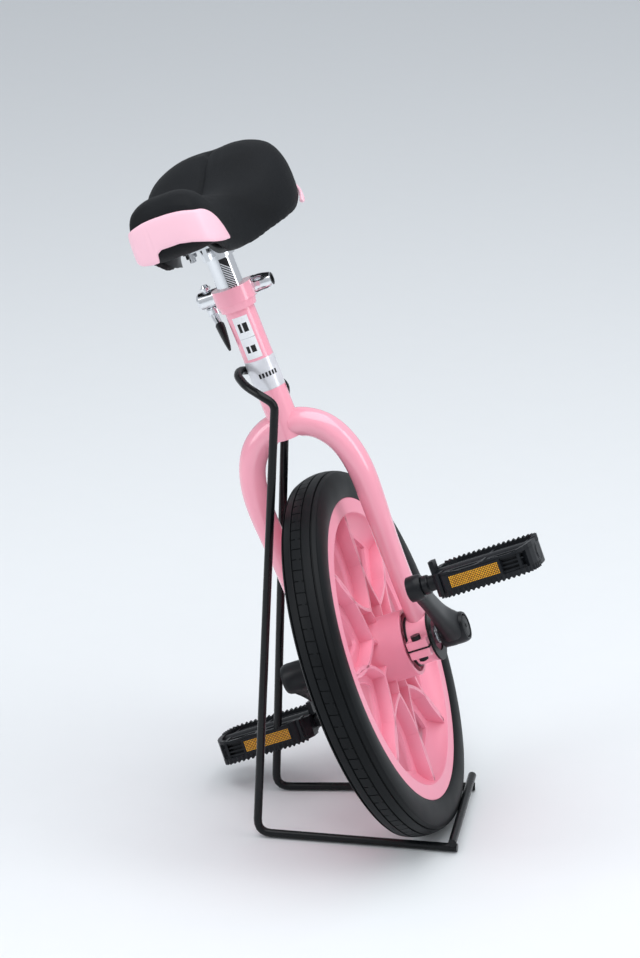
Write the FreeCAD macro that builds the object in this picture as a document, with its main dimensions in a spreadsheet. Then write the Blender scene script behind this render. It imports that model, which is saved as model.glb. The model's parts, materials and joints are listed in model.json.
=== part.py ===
import FreeCAD, Part
import math
import os

from FreeCAD import Placement, Rotation, Vector as V

os.makedirs("parts", exist_ok=True)
doc = FreeCAD.newDocument("unicycle")

# ---------------------------------------------------------------- sizes (mm, degrees)
SIZES = {
    "wheel_radius": 177.8, "tyre_half_width": 20.5, "crown_arc": 40.0,
    "lean": 20.15, "frame_pitch": 2.26,
    "rim_face_outer": 152.0, "rim_face_inner": 137.0, "rim_half_width": 17.5, "rim_seat": 140.2,
    "web_half": 2.0, "petals": 8.0, "petal_phase": 11.5, "petal_wall": 3.0, "petal_half_depth": 15.0,
    "hub_radius": 32.0, "hub_half": 38.0,
    "axle_d": 17.0, "axle_half": 90.0, "bearing_x": 51.0, "bearing_od": 35.0, "bearing_w": 10.0,
    "housing_r": 23.5, "housing_w": 20.0, "seal_r": 24.6, "seal_w": 2.0,
    "tube_od": 28.6, "tube_id": 25.6, "tube_bottom": 224.0, "tube_top": 376.0,
    "collar_od": 38.6, "collar_bottom": 354.0, "lug_y": 25.0, "skewer_z": 366.0,
    "post_od": 25.4, "post_id": 21.4, "post_bottom": 262.0, "post_top": 421.0,
    "crank_length": 102.0, "crank_angle": 44.5, "pedal_tilt": 10.0,
    "pedal_in": 106.0, "pedal_len": 102.0, "pedal_depth": 68.0, "pedal_h": 28.0, "spindle_d": 12.0,
}
sheet = doc.addObject("Spreadsheet::Sheet", "Sizes")
for row, (key, value) in enumerate(SIZES.items(), 1):
    sheet.set(f"A{row}", key)
    sheet.set(f"B{row}", str(value))
    sheet.setAlias(f"B{row}", key)
doc.recompute()
S = SIZES

# ---------------------------------------------------------------- where the parts stand
# Every part is drawn upright: origin at the middle of the axle, X along the axle, Y to the back,
# Z up. The whole unicycle then leans to its left, and rests on the tyre at the origin.
LEAN_RAD = math.radians(S["lean"])
ARC_IN = S["wheel_radius"] - S["crown_arc"]
TOUCH_X = S["crown_arc"] * math.sin(LEAN_RAD)
TOUCH_R = ARC_IN + S["crown_arc"] * math.cos(LEAN_RAD)
AXLE = V(
    TOUCH_X * math.cos(LEAN_RAD) - TOUCH_R * math.sin(LEAN_RAD),
    0,
    ARC_IN * math.cos(LEAN_RAD) + S["crown_arc"],
)
TURN = Rotation(V(0, 1, 0), -S["lean"])
WHEEL = Placement(AXLE, TURN)
FRAME = Placement(AXLE, TURN.multiply(Rotation(V(1, 0, 0), -S["frame_pitch"])))

NODES = {}


def node(name, obj, where):
    """A finished piece: its label, its place in the leaning unicycle and its export name."""
    obj.Placement = where.multiply(obj.Placement)
    obj.Label = name
    NODES[name] = obj
    return obj


# ---------------------------------------------------------------- building blocks
TO_X = Rotation(V(0, 1, 0), 90)
TO_Y = Rotation(V(1, 0, 0), -90)
SIDE = {"Z": Rotation(), "X": TO_X, "Y": TO_Y}


def cyl(name, radius, height, at, axis="Z", exprs=None):
    c = doc.addObject("Part::Cylinder", name)
    c.Radius = radius
    c.Height = height
    for prop, expr in (exprs or {}).items():
        c.setExpression(prop, expr)
    c.Placement = Placement(V(*at), SIDE[axis])
    return c


def cone(name, r1, r2, height, at, axis="Z"):
    c = doc.addObject("Part::Cone", name)
    c.Radius1 = r1
    c.Radius2 = r2
    c.Height = height
    c.Placement = Placement(V(*at), SIDE[axis])
    return c


def box(name, size, at):
    b = doc.addObject("Part::Box", name)
    b.Length, b.Width, b.Height = size
    b.Placement = Placement(V(*at), Rotation())
    return b


def cut(name, base, *tools):
    c = doc.addObject("Part::Cut", name)
    c.Base = base
    c.Tool = tools[0] if len(tools) == 1 else fuse(name + "_tools", *tools)
    return c


def fuse(name, *parts):
    f = doc.addObject("Part::MultiFuse", name)
    f.Shapes = list(parts)
    f.Refine = True
    return f


def common(name, *parts):
    c = doc.addObject("Part::MultiCommon", name)
    c.Shapes = list(parts)
    return c


def sketch(name, segments, rotation, at=(0, 0, 0), closed=True):
    """A sketch from points; a segment with a middle point is an arc."""
    sk = doc.addObject("Sketcher::SketchObject", name)
    sk.Placement = Placement(V(*at), rotation)
    for seg in segments:
        pts = [V(p[0], p[1], 0) for p in seg]
        if len(pts) == 2:
            sk.addGeometry(Part.LineSegment(*pts), False)
        else:
            sk.addGeometry(Part.Arc(*pts), False)
    return sk


def chain(points):
    """Straight segments round a closed outline."""
    return [(a, b) for a, b in zip(points, points[1:] + points[:1])]


def spline_sketch(name, points, rotation, at=(0, 0, 0)):
    """A closed smooth curve through the points."""
    sk = doc.addObject("Sketcher::SketchObject", name)
    sk.Placement = Placement(V(*at), rotation)
    curve = Part.BSplineCurve()
    curve.interpolate(Points=[V(p[0], p[1], 0) for p in points], PeriodicFlag=True)
    sk.addGeometry(curve, False)
    return sk


def revolve(name, sk, axis=V(1, 0, 0), base=V(0, 0, 0)):
    r = doc.addObject("Part::Revolution", name)
    r.Source = sk
    r.Axis = axis
    r.Base = base
    r.Angle = 360
    r.Solid = True
    return r


def extrude(name, sk, direction, length):
    e = doc.addObject("Part::Extrusion", name)
    e.Base = sk
    e.DirMode = "Custom"
    e.Dir = direction
    e.LengthFwd = length
    e.Solid = True
    return e


def loft(name, sections):
    f = doc.addObject("Part::Loft", name)
    f.Sections = sections
    f.Solid = True
    f.Ruled = False
    return f


UPRIGHT = Rotation(V(1, 0, 0), 90)  # sketch x -> X, sketch y -> Z
ENDWISE = Rotation(V(1, 1, 1), 120)  # sketch x -> Y, sketch y -> Z
LEVEL = Rotation()

# ---------------------------------------------------------------- tyre
R = S["wheel_radius"]
crown_x, tw, rs = 15.0, S["tyre_half_width"], S["rim_seat"]
crown_r = ARC_IN + math.sqrt(S["crown_arc"] ** 2 - crown_x**2)
tyre_sk = sketch("tyre_profile", [
    ((-crown_x, crown_r), (0, R), (crown_x, crown_r)),
    ((crown_x, crown_r), (19.1, 171.6), (tw, 165.5)),
    ((tw, 165.5), (20.3, 158.0), (17.9, 152.7)),
    ((17.9, 152.7), (14.0, 152.2)),
    ((14.0, 152.2), (14.0, rs)),
    ((14.0, rs), (9.0, rs)),
    ((9.0, rs), (9.5, 147.5)),
    ((9.5, 147.5), (14.6, 156.0), (16.9, 164.0)),
    ((16.9, 164.0), (12.5, 170.6), (0, 173.4)),
    ((0, 173.4), (-12.5, 170.6), (-16.9, 164.0)),
    ((-16.9, 164.0), (-14.6, 156.0), (-9.5, 147.5)),
    ((-9.5, 147.5), (-9.0, rs)),
    ((-9.0, rs), (-14.0, rs)),
    ((-14.0, rs), (-14.0, 152.2)),
    ((-14.0, 152.2), (-17.9, 152.7)),
    ((-17.9, 152.7), (-20.3, 158.0), (-tw, 165.5)),
    ((-tw, 165.5), (-19.1, 171.6), (-crown_x, crown_r)),
], UPRIGHT)
node("tyre", revolve("tyre_turned", tyre_sk), WHEEL)

# ---------------------------------------------------------------- one-piece wheel moulding
# A rim channel, a thin web and a hub drum turned as one, then eight pointed petals of thin
# wall standing across the wheel, each with a window through the web.
moulding = doc.addObject("PartDesign::Body", "wheel_body")


def in_body(sk):
    moulding.addObject(sk)
    return sk


hr, hh, wh = S["hub_radius"], S["hub_half"], S["web_half"]
rw, ro, ri = S["rim_half_width"], S["rim_face_outer"], S["rim_face_inner"]
rim = sketch("rim_profile", chain([(-rw, ri), (-rw, ro), (-14.0, ro), (-14.0, rs), (14.0, rs),
                                   (14.0, ro), (rw, ro), (rw, ri)])[:-1] + [
    ((rw, ri), (11.0, 134.6), (5.0, 129.5)),
    ((5.0, 129.5), (wh, 124.0)),
    ((wh, 124.0), (wh, hr + 3)),
    ((wh, hr + 3), (wh + 3, hr)),
    ((wh + 3, hr), (hh, hr)),
    ((hh, hr), (hh, hr - 3.5)),
    ((hh, hr - 3.5), (hh - 14, hr - 4.5)),
    ((hh - 14, hr - 4.5), (hh - 14, 13.5)),
    ((hh - 14, 13.5), (hh, 13.0)),
    ((hh, 13.0), (hh, 8.5)),
    ((hh, 8.5), (-hh, 8.5)),
    ((-hh, 8.5), (-hh, 13.0)),
    ((-hh, 13.0), (-hh + 14, 13.5)),
    ((-hh + 14, 13.5), (-hh + 14, hr - 4.5)),
    ((-hh + 14, hr - 4.5), (-hh, hr - 3.5)),
    ((-hh, hr - 3.5), (-hh, hr)),
    ((-hh, hr), (-wh - 3, hr)),
    ((-wh - 3, hr), (-wh, hr + 3)),
    ((-wh, hr + 3), (-wh, 124.0)),
    ((-wh, 124.0), (-5.0, 129.5)),
    ((-5.0, 129.5), (-11.0, 134.6), (-rw, ri)),
], UPRIGHT)
in_body(rim)
turned = moulding.newObject("PartDesign::Revolution", "rim_web_hub")
turned.Profile = rim
turned.ReferenceAxis = (rim, ["H_Axis"])
turned.Angle = 360.0

PHASE = math.radians(S["petal_phase"])


def spun(x, y):
    """A point of the petal drawn along its own middle line, turned to the petal's place."""
    c, s = math.cos(PHASE), math.sin(PHASE)
    return (x * c - y * s, x * s + y * c)


def pol(r, deg):
    a = math.radians(deg)
    return (r * math.cos(a), r * math.sin(a))


def seg(*points):
    return tuple(spun(*p) for p in points)


t = S["petal_wall"] / 2
out_lo, out_hi = pol(134.5, -23.2), pol(134.5, 23.2)
in_lo, in_hi = pol(134.5, -21.2), pol(134.5, 21.2)
mo, mi = (78.0, 34.6), (80.0, 31.6)
petal = sketch("petal_outline", [
    seg(out_lo, (mo[0], -mo[1]), (43.5, -t)),
    seg((43.5, -t), (29.0, -t)),
    seg((29.0, -t), (29.0, t)),
    seg((29.0, t), (43.5, t)),
    seg((43.5, t), mo, out_hi),
    seg(out_hi, in_hi),
    seg(in_hi, mi, (47.5, 0)),
    seg((47.5, 0), (mi[0], -mi[1]), in_lo),
    seg(in_lo, out_lo),
], ENDWISE, at=(-S["petal_half_depth"], 0, 0))
in_body(petal)
pad = moulding.newObject("PartDesign::Pad", "petal_wall_pad")
pad.Profile = petal
pad.Length = 2 * S["petal_half_depth"]
pad.setExpression("Length", "2 * Sizes.petal_half_depth")
petals = moulding.newObject("PartDesign::PolarPattern", "petal_ring")
petals.Originals = [pad]
petals.Axis = (petal, ["N_Axis"])
petals.Angle = 360.0
petals.setExpression("Occurrences", "Sizes.petals")
moulding.Tip = petals

window = sketch("petal_window", [
    seg(pol(120.0, -15.0), (86.0, -21.5), (61.0, -4.5)),
    seg((61.0, -4.5), (58.5, 0), (61.0, 4.5)),
    seg((61.0, 4.5), (86.0, 21.5), pol(120.0, 15.0)),
    seg(pol(120.0, 15.0), (120.0, 0), pol(120.0, -15.0)),
], ENDWISE, at=(6.0, 0, 0))
in_body(window)
hole = moulding.newObject("PartDesign::Pocket", "window_pocket")
hole.Profile = window
hole.Length = 12.0  # well through the web
windows = moulding.newObject("PartDesign::PolarPattern", "window_ring")
windows.Originals = [hole]
windows.Axis = (window, ["N_Axis"])
windows.Angle = 360.0
windows.setExpression("Occurrences", "Sizes.petals")
moulding.Tip = windows
for side in (1, -1):
    rib = sketch(f"hub_rib_{side}", chain([(12.5, -1.1), (29.0, -1.1), (29.0, 1.1), (12.5, 1.1)]),
                 ENDWISE, at=(23.0 if side > 0 else -35.0, 0, 0))
    in_body(rib)
    rib_pad = moulding.newObject("PartDesign::Pad", f"hub_rib_pad_{'r' if side > 0 else 'l'}")
    rib_pad.Profile = rib
    rib_pad.Length = 12.0
    ribs = moulding.newObject("PartDesign::PolarPattern", f"hub_ribs_{'r' if side > 0 else 'l'}")
    ribs.Originals = [rib_pad]
    ribs.Axis = (rib, ["N_Axis"])
    ribs.Angle = 360.0
    ribs.Occurrences = 8
    moulding.Tip = ribs
node("wheel_moulding", moulding, WHEEL)

# ---------------------------------------------------------------- axle, spacers and bearings
ar = S["axle_d"] / 2
bx, bw, br = S["bearing_x"], S["bearing_w"], S["bearing_od"] / 2
axle_round = cyl("axle_round", ar, 128.0, (-64, 0, 0), "X", {"Radius": "Sizes.axle_d / 2"})
taper = box("axle_square", (2 * S["axle_half"] - 6, 12.6, 12.6), (-S["axle_half"] + 3, -6.3, -6.3))
taper_round = cyl("axle_square_turned", 8.1, 2 * S["axle_half"] - 6, (-S["axle_half"] + 3, 0, 0), "X")
bolt_bore_r = cyl("axle_thread_r", 4.0, 30.0, (60, 0, 0), "X")
bolt_bore_l = cyl("axle_thread_l", 4.0, 30.0, (-90, 0, 0), "X")
axle_solid = fuse("axle_solid", axle_round, common("axle_ends", taper, taper_round))
node("hub_axle", cut("axle_bored", axle_solid, bolt_bore_r, bolt_bore_l), WHEEL)

for side, tag in ((1, "right"), (-1, "left")):
    def sx(x, length):
        """Where a cylinder of this length starts along X so that it mirrors on the left."""
        return x if side > 0 else -x - length

    sleeve = cut(f"spacer_{tag}_turned", cyl(f"spacer_{tag}_o", 11.0, 8.0, (sx(38, 8.0), 0, 0), "X"),
                 cyl(f"spacer_{tag}_i", ar, 8.0, (sx(38, 8.0), 0, 0), "X"))
    node(f"axle_spacer_{tag}", sleeve, WHEEL)
    b0 = sx(bx - bw / 2, bw)
    race_in = cut(f"race_in_{tag}", cyl(f"race_in_{tag}_o", 11.2, bw, (b0, 0, 0), "X"),
                  cyl(f"race_in_{tag}_i", ar, bw, (b0, 0, 0), "X"))
    groove = doc.addObject("Part::Torus", f"race_in_{tag}_groove")
    groove.Radius1 = 13.0
    groove.Radius2 = 3.0
    groove.Placement = Placement(V(side * bx, 0, 0), TO_X)
    node(f"bearing_inner_{tag}", cut(f"race_in_{tag}_cut", race_in, groove), WHEEL)
    race_out = cut(f"race_out_{tag}", cyl(f"race_out_{tag}_o", br, bw, (b0, 0, 0), "X"),
                   cyl(f"race_out_{tag}_i", 14.8, bw, (b0, 0, 0), "X"))
    groove2 = doc.addObject("Part::Torus", f"race_out_{tag}_groove")
    groove2.Radius1 = 13.0
    groove2.Radius2 = 3.0
    groove2.Placement = Placement(V(side * bx, 0, 0), TO_X)
    node(f"bearing_outer_{tag}", cut(f"race_out_{tag}_cut", race_out, groove2), FRAME)
    cage = cut(f"cage_{tag}_ring", cyl(f"cage_{tag}_o", 13.9, 3.0, (sx(bx - 1.5, 3.0), 0, 0), "X"),
               cyl(f"cage_{tag}_i", 12.1, 3.0, (sx(bx - 1.5, 3.0), 0, 0), "X"))
    balls = []
    for k in range(9):
        a = 2 * math.pi * k / 9
        ball = doc.addObject("Part::Sphere", f"ball_{tag}_{k}")
        ball.Radius = 2.95
        ball.Placement = Placement(V(side * bx, 13.0 * math.cos(a), 13.0 * math.sin(a)), Rotation())
        balls.append(ball)
    node(f"bearing_balls_{tag}", fuse(f"cage_{tag}", cage, *balls), FRAME)

    # ------------------------------------------------------------ cranks
    K, pa = S["crank_length"], math.radians(S["crank_angle"])
    ey, ez = -side * math.cos(pa), side * math.sin(pa)
    end = (K * ey, K * ez)
    boss = cyl(f"crank_{tag}_boss", 14.0, 23.0, (sx(68, 23.0), 0, 0), "X")
    lip = cone(f"crank_{tag}_lip", 14.0, 12.6, 2.2, (91, 0, 0), "X")
    if side < 0:
        lip.Radius1, lip.Radius2 = 12.6, 14.0
        lip.Placement = Placement(V(-93.2, 0, 0), TO_X)
    eye = cyl(f"crank_{tag}_eye", 12.0, 14.0, (sx(76, 14.0), end[0], end[1]), "X")
    u, v = (ey, ez), (-ez, ey)

    def arm_section(dist, half_w, x0, x1, name):
        """A rounded slab across the arm, drawn in its own plane."""
        ox, oy, oz = 0.0, dist * u[0], dist * u[1]
        rot = Rotation(V(1, 0, 0), V(0, v[0], v[1]), V(0, u[0], u[1]), "ZXY")
        lo, hi = min(side * x0, side * x1), max(side * x0, side * x1)
        c = 3.0
        pts = [(lo + c, -half_w), (hi - c, -half_w), (hi, -half_w + c), (hi, half_w - c), (hi - c, half_w),
               (lo + c, half_w), (lo, half_w - c), (lo, -half_w + c)]
        return sketch(name, chain(pts), rot, at=(ox, oy, oz))

    arm = loft(f"crank_{tag}_arm", [
        arm_section(4.0, 13.2, 69, 88, f"arm_{tag}_a"),
        arm_section(34.0, 10.6, 72, 87, f"arm_{tag}_b"),
        arm_section(68.0, 9.6, 75, 88.5, f"arm_{tag}_c"),
        arm_section(K, 10.2, 76.5, 89.5, f"arm_{tag}_d"),
    ])
    square = common(f"crank_{tag}_square", box(f"crank_{tag}_sq", (20, 12.6, 12.6), (sx(67.0, 20), -6.3, -6.3)),
                    cyl(f"crank_{tag}_sqr", 8.1, 20.0, (sx(67.0, 20.0), 0, 0), "X"))
    cap_well = cyl(f"crank_{tag}_well", 10.2, 8.0, (sx(87, 8.0), 0, 0), "X")
    pedal_hole = cyl(f"crank_{tag}_hole", 6.32, 16.0, (sx(75, 16.0), end[0], end[1]), "X")
    crank = cut(f"crank_{tag}_solid", fuse(f"crank_{tag}_blank", boss, lip, eye, arm), square, cap_well, pedal_hole)
    node(f"crank_{tag}", crank, WHEEL)
    bolt = fuse(f"crank_bolt_{tag}_solid", cyl(f"crank_bolt_{tag}_head", 7.5, 3.0, (sx(87, 3.0), 0, 0), "X"),
                cyl(f"crank_bolt_{tag}_shank", 4.0, 17.0, (sx(70.0, 17.0), 0, 0), "X"))
    node(f"crank_bolt_{tag}", bolt, WHEEL)
    cap = fuse(f"dust_cap_{tag}_solid", cyl(f"dust_cap_{tag}_rim", 10.2, 2.6, (sx(90.4, 2.6), 0, 0), "X"),
               cyl(f"dust_cap_{tag}_dot", 1.6, 0.6, (sx(93.0, 0.6), 0, 0), "X"))
    node(f"dust_cap_{tag}", cap, WHEEL)

    # ------------------------------------------------------------ pedals
    px0, pl, pd, ph = S["pedal_in"], S["pedal_len"], S["pedal_depth"], S["pedal_h"]
    sr = S["spindle_d"] / 2
    PEDAL = WHEEL.multiply(Placement(V(0, end[0], end[1]), Rotation(V(1, 0, 0), -S["pedal_tilt"])))
    spindle = fuse(
        f"spindle_{tag}_solid",
        cyl(f"spindle_{tag}_thread", 6.3, 15.0, (sx(76, 15.0), 0, 0), "X"),
        cyl(f"spindle_{tag}_flange", 9.0, 7.0, (sx(90, 7.0), 0, 0), "X"),
        cyl(f"spindle_{tag}_shaft", sr, 104.0, (sx(97, 104.0), 0, 0), "X", {"Radius": "Sizes.spindle_d / 2"}),
    )
    node(f"pedal_spindle_{tag}", spindle, PEDAL)
    d2 = pd / 2
    outline = [(px0, -20.0), (px0 + 6, -27.0), (px0 + 20, -d2), (px0 + pl - 22, -d2), (px0 + pl - 7, -27.0),
               (px0 + pl, -14.0), (px0 + pl, 14.0), (px0 + pl - 7, 27.0), (px0 + pl - 22, d2), (px0 + 20, d2),
               (px0 + 6, 27.0), (px0, 20.0)]
    slab = extrude(f"pedal_{tag}_slab", sketch(f"pedal_{tag}_outline", chain([(side * a, b) for a, b in outline]),
                                               LEVEL, at=(0, 0, -ph / 2)), V(0, 0, 1), ph)
    gaps = []
    for s2, t2 in ((1, "b"), (-1, "f")):
        w = [(px0 + 12, 11.5), (px0 + pl - 13, 11.5), (px0 + pl - 13, 20.0), (px0 + pl - 26, 26.0),
             (px0 + 24, 26.0), (px0 + 12, 20.0)]
        sk = sketch(f"pedal_{tag}_gap_{t2}", chain([(side * a, s2 * b) for a, b in w]), LEVEL, at=(0, 0, -ph))
        gaps.append(extrude(f"pedal_{tag}_gap_{t2}_cut", sk, V(0, 0, 1), 2 * ph))
        # the reflector's shallow pocket, and a ribbed recess at the outer end of the rail
        y0 = s2 * d2 - 2.0 if s2 > 0 else -d2 - 1.0
        xr = 24.0 - 6.0
        gaps.append(box(f"pedal_{tag}_pocket_{t2}", (48.4, 3.0, 11.4),
                        (sx(px0 + xr, 48.4), y0, -5.7)))
        y1 = s2 * d2 - 3.0 if s2 > 0 else -d2 - 1.0
        gaps.append(box(f"pedal_{tag}_recess_{t2}", (10.0, 4.0, 14.0), (sx(px0 + 70, 10.0), y1, -7.0)))
    bore = cyl(f"pedal_{tag}_bore", sr + 0.1, 100.0, (sx(px0 - 2, 100.0), 0, 0), "X")
    cap_hole = cyl(f"pedal_{tag}_cap_hole", 9.0, 6.0, (sx(px0 + pl - 5.5, 6.0), 0, 0), "X")
    flat_top = box(f"pedal_{tag}_mid_top", (78.0, 44.0, 10.0), (sx(px0 + 12, 78.0), -22.0, 10.5))
    flat_bot = box(f"pedal_{tag}_mid_bot", (78.0, 44.0, 10.0), (sx(px0 + 12, 78.0), -22.0, -20.5))
    tab = box(f"pedal_{tag}_tab", (5.0, 16.0, 10.0), (sx(px0 - 3.5, 5.0), -8.0, 8.5))
    body = cut(f"pedal_{tag}_cage", fuse(f"pedal_{tag}_blank", slab, tab), bore, cap_hole, flat_top, flat_bot, *gaps)
    node(f"pedal_{tag}", body, PEDAL)
    node(f"pedal_end_cap_{tag}", cyl(f"pedal_{tag}_cap", 9.0, 3.2, (sx(px0 + pl - 3.2, 3.2), 0, 0), "X"), PEDAL)
    for s2, t2 in ((1, "back"), (-1, "front")):
        lens = box(f"reflector_{tag}_{t2}_lens", (48.0, 2.4, 11.0),
                   (sx(px0 + 18.2, 48.0), d2 - 2.0 if s2 > 0 else -d2 - 0.4, -5.5))
        node(f"reflector_{tag}_{t2}", lens, PEDAL)

    # ------------------------------------------------------------ bearing housings on the fork
    h0 = sx(bx - S["housing_w"] / 2, S["housing_w"])
    ring = cyl(f"housing_{tag}_ring", S["housing_r"], S["housing_w"], (h0, 0, 0), "X",
               {"Radius": "Sizes.housing_r"})
    ears = box(f"housing_{tag}_ears", (S["housing_w"], 66.0, 17.0), (h0, -33.0, -8.5))
    blank = fuse(f"housing_{tag}_blank", ring, ears)
    seat = cyl(f"housing_{tag}_seat", br + 0.02, bw, (b0, 0, 0), "X", {"Radius": "Sizes.bearing_od / 2 + 0.02"})
    throat = cyl(f"housing_{tag}_throat", 15.5, S["housing_w"] + 2, (h0 - 1, 0, 0), "X")
    top_half = box(f"housing_{tag}_upper", (40, 80, 40), (side * bx - 20, -40, 0.8))
    low_half = box(f"housing_{tag}_lower", (40, 80, 40), (side * bx - 20, -40, -40.8))
    holes = [cyl(f"housing_{tag}_hole_{k}", 2.6, 30, (side * bx, y, -15)) for k, y in enumerate((-28.0, 28.0))]
    bored = cut(f"housing_{tag}_bored", blank, seat, throat, *holes)
    upper = common(f"housing_{tag}_top", bored, top_half)
    node(f"bearing_housing_{tag}", upper, FRAME)
    node(f"bearing_cap_{tag}", common(f"housing_{tag}_bottom", bored, low_half), FRAME)
    plates = box(f"strap_{tag}_plate", (S["housing_w"] + 2.0, 67.0, 1.6), (h0 - 1.0, -33.5, -0.8))
    seals = [cyl(f"strap_{tag}_seal_{k}", S["seal_r"], S["seal_w"], (x, 0, 0), "X", {"Radius": "Sizes.seal_r"})
             for k, x in enumerate((h0 - S["seal_w"], h0 + S["housing_w"]))]
    strap = cut(f"strap_{tag}", fuse(f"strap_{tag}_blank", plates, *seals),
                cyl(f"strap_{tag}_room", 18.5, S["housing_w"], (h0, 0, 0), "X"),
                cyl(f"strap_{tag}_eye", 15.5, 40, (side * bx - 20, 0, 0), "X"),
                *[cyl(f"strap_{tag}_hole_{k}", 2.6, 30, (side * bx, y, -15)) for k, y in enumerate((-28.0, 28.0))])
    node(f"housing_strap_{tag}", strap, FRAME)
    for t2, y in (("front", -28.0), ("back", 28.0)):
        screw = fuse(f"cap_bolt_{tag}_{t2}_solid",
                     cyl(f"cap_bolt_{tag}_{t2}_head", 4.6, 4.5, (side * bx, y, 8.5)),
                     cyl(f"cap_bolt_{tag}_{t2}_shank", 2.5, 21.5, (side * bx, y, -13.0)),
                     cyl(f"cap_bolt_{tag}_{t2}_nut", 4.4, 3.6, (side * bx, y, -12.1)))
        node(f"cap_bolt_{tag}_{t2}", screw, FRAME)

    # ------------------------------------------------------------ fork legs
    # (x, z) down the middle of the leg, width across it in that plane, depth front to back
    path = [(6.0, 236.0, 26.0, 27.0), (22.0, 231.5, 27.0, 27.0), (35.0, 222.0, 26.5, 26.5),
            (45.0, 207.0, 25.5, 26.0), (50.5, 190.0, 25.0, 26.0), (53.0, 168.0, 24.5, 26.0),
            (52.8, 146.0, 23.7, 25.5), (51.9, 122.0, 22.4, 25.2), (51.2, 98.0, 21.2, 24.6),
            (51.0, 74.0, 20.4, 24.2), (51.0, 50.0, 20.0, 24.0), (51.0, 32.0, 20.0, 24.0), (51.0, 16.0, 20.0, 24.0)]

    def leg_sections(shrink, suffix):
        made = []
        for i, (x, z, w, d) in enumerate(path):
            a, b = path[max(i - 1, 0)], path[min(i + 1, len(path) - 1)]
            dx, dz = b[0] - a[0], b[1] - a[1]
            n = math.hypot(dx, dz)
            tangent = V(side * dx / n, 0, dz / n)
            rot = Rotation(V(0, 1, 0).cross(tangent), V(0, 1, 0), tangent, "ZXY")
            pts = []
            for k in range(12):
                q = 2 * math.pi * k / 12
                pts.append(((w / 2 - shrink) * math.cos(q), (d / 2 - shrink) * math.sin(q)))
            made.append(spline_sketch(f"leg_{tag}_{suffix}_{i}", pts, rot, at=(side * x, 0, z)))
        return made

    leg_out = loft(f"leg_{tag}_outer", leg_sections(0.0, "o"))
    leg_in = loft(f"leg_{tag}_inner", leg_sections(1.8, "i"))
    tube_clear = cyl(f"leg_{tag}_tube", S["tube_od"] / 2 + 0.02, 80, (0, 0, 200), "Z",
                     {"Radius": "Sizes.tube_od / 2 + 0.02"})
    house_clear = cyl(f"leg_{tag}_house", S["housing_r"], 40, (side * bx - 20, 0, 0), "X",
                      {"Radius": "Sizes.housing_r"})
    leg = cut(f"leg_{tag}", leg_out, leg_in, tube_clear, house_clear)
    node(f"fork_leg_{tag}", leg, FRAME)

# ---------------------------------------------------------------- seat tube and clamp
tz0, tz1 = S["tube_bottom"], S["tube_top"]
tube = cyl("tube_outer", S["tube_od"] / 2, tz1 - tz0, (0, 0, tz0), "Z",
           {"Radius": "Sizes.tube_od / 2", "Height": "Sizes.tube_top - Sizes.tube_bottom"})
tube_bore = cyl("tube_bore", S["tube_id"] / 2, 200, (0, 0, tz0 - 10), "Z", {"Radius": "Sizes.tube_id / 2"})
slit = box("tube_slit", (2.4, 20, 36), (-1.2, 5, tz1 - 30))
vent = cyl("tube_vent", 2.0, 12, (6, 0, 271), "X")
node("seat_tube", cut("tube_cut", tube, tube_bore, slit, vent), FRAME)

cz, ly, sz = S["collar_bottom"], S["lug_y"], S["skewer_z"]
collar_up = cyl("collar_upper", S["collar_od"] / 2, 15.0, (0, 0, tz1 - 15.0), "Z", {"Radius": "Sizes.collar_od / 2"})
collar_lo = cone("collar_lower", 17.2, 18.6, tz1 - 15.0 - cz, (0, 0, cz))
lugs = box("collar_lugs", (27.0, 17.0, 17.0), (-13.5, 14.0, tz1 - 19.0))
lug_round = cyl("collar_lug_round", 8.5, 27.0, (-13.5, ly + 0.5, tz1 - 10.5), "X")
collar_bore = cyl("collar_bore", S["tube_od"] / 2 + 0.02, 60, (0, 0, cz - 10), "Z",
                  {"Radius": "Sizes.tube_od / 2 + 0.02"})
collar_slit = box("collar_slit", (2.4, 40, 40), (-1.2, 5, tz1 - 22.0 - 1))
skewer_hole = cyl("collar_skewer_hole", 3.1, 60, (-30, ly, sz), "X")
node("seat_clamp_collar", cut("collar_cut", fuse("collar_blank", collar_up, collar_lo, lugs, lug_round),
                              collar_bore, collar_slit, skewer_hole), FRAME)

# quick release: skewer, barrel and nut stay with the clamp
node("qr_skewer", cyl("skewer_rod", 2.9, 50.0, (-22.0, ly, sz), "X"), FRAME)
barrel_blank = fuse("barrel_blank", cyl("barrel_main", 8.6, 24.0, (-40.0, ly, sz), "X"),
                    cone("barrel_end", 7.0, 8.6, 2.4, (-42.4, ly, sz), "X"),
                    cyl("barrel_neck", 7.0, 2.6, (-16.1, ly, sz), "X"))
barrel = cut("barrel_cut", barrel_blank, cyl("barrel_pin_hole", 3.3, 30.0, (-32.0, ly, sz - 15)),
             cyl("barrel_rod_hole", 2.92, 20.0, (-22.0, ly, sz), "X"))
node("qr_barrel", barrel, FRAME)
nut_blank = fuse("qr_nut_blank", cyl("qr_nut_flange", 8.4, 3.0, (13.5, ly, sz), "X"),
                 cone("qr_nut_cone", 8.0, 6.6, 12.0, (16.5, ly, sz), "X"),
                 cyl("qr_nut_end", 6.6, 4.0, (28.5, ly, sz), "X"))
node("qr_nut", cut("qr_nut_cut", nut_blank, cyl("qr_nut_bore", 2.92, 14.5, (13.5, ly, sz), "X"),
                   cyl("qr_nut_well", 4.4, 3.0, (30.0, ly, sz), "X")), FRAME)

# the lever turns on an upright pin through the barrel and folds down round the tube's left side
pin = cyl("lever_pin", 3.2, 26.5, (-32.0, ly, sz - 15.5))
hub = cyl("lever_hub", 6.2, 6.0, (-32.0, ly, sz - 15.2))
arm_a = (-32.0, ly, sz - 12.5)


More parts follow.
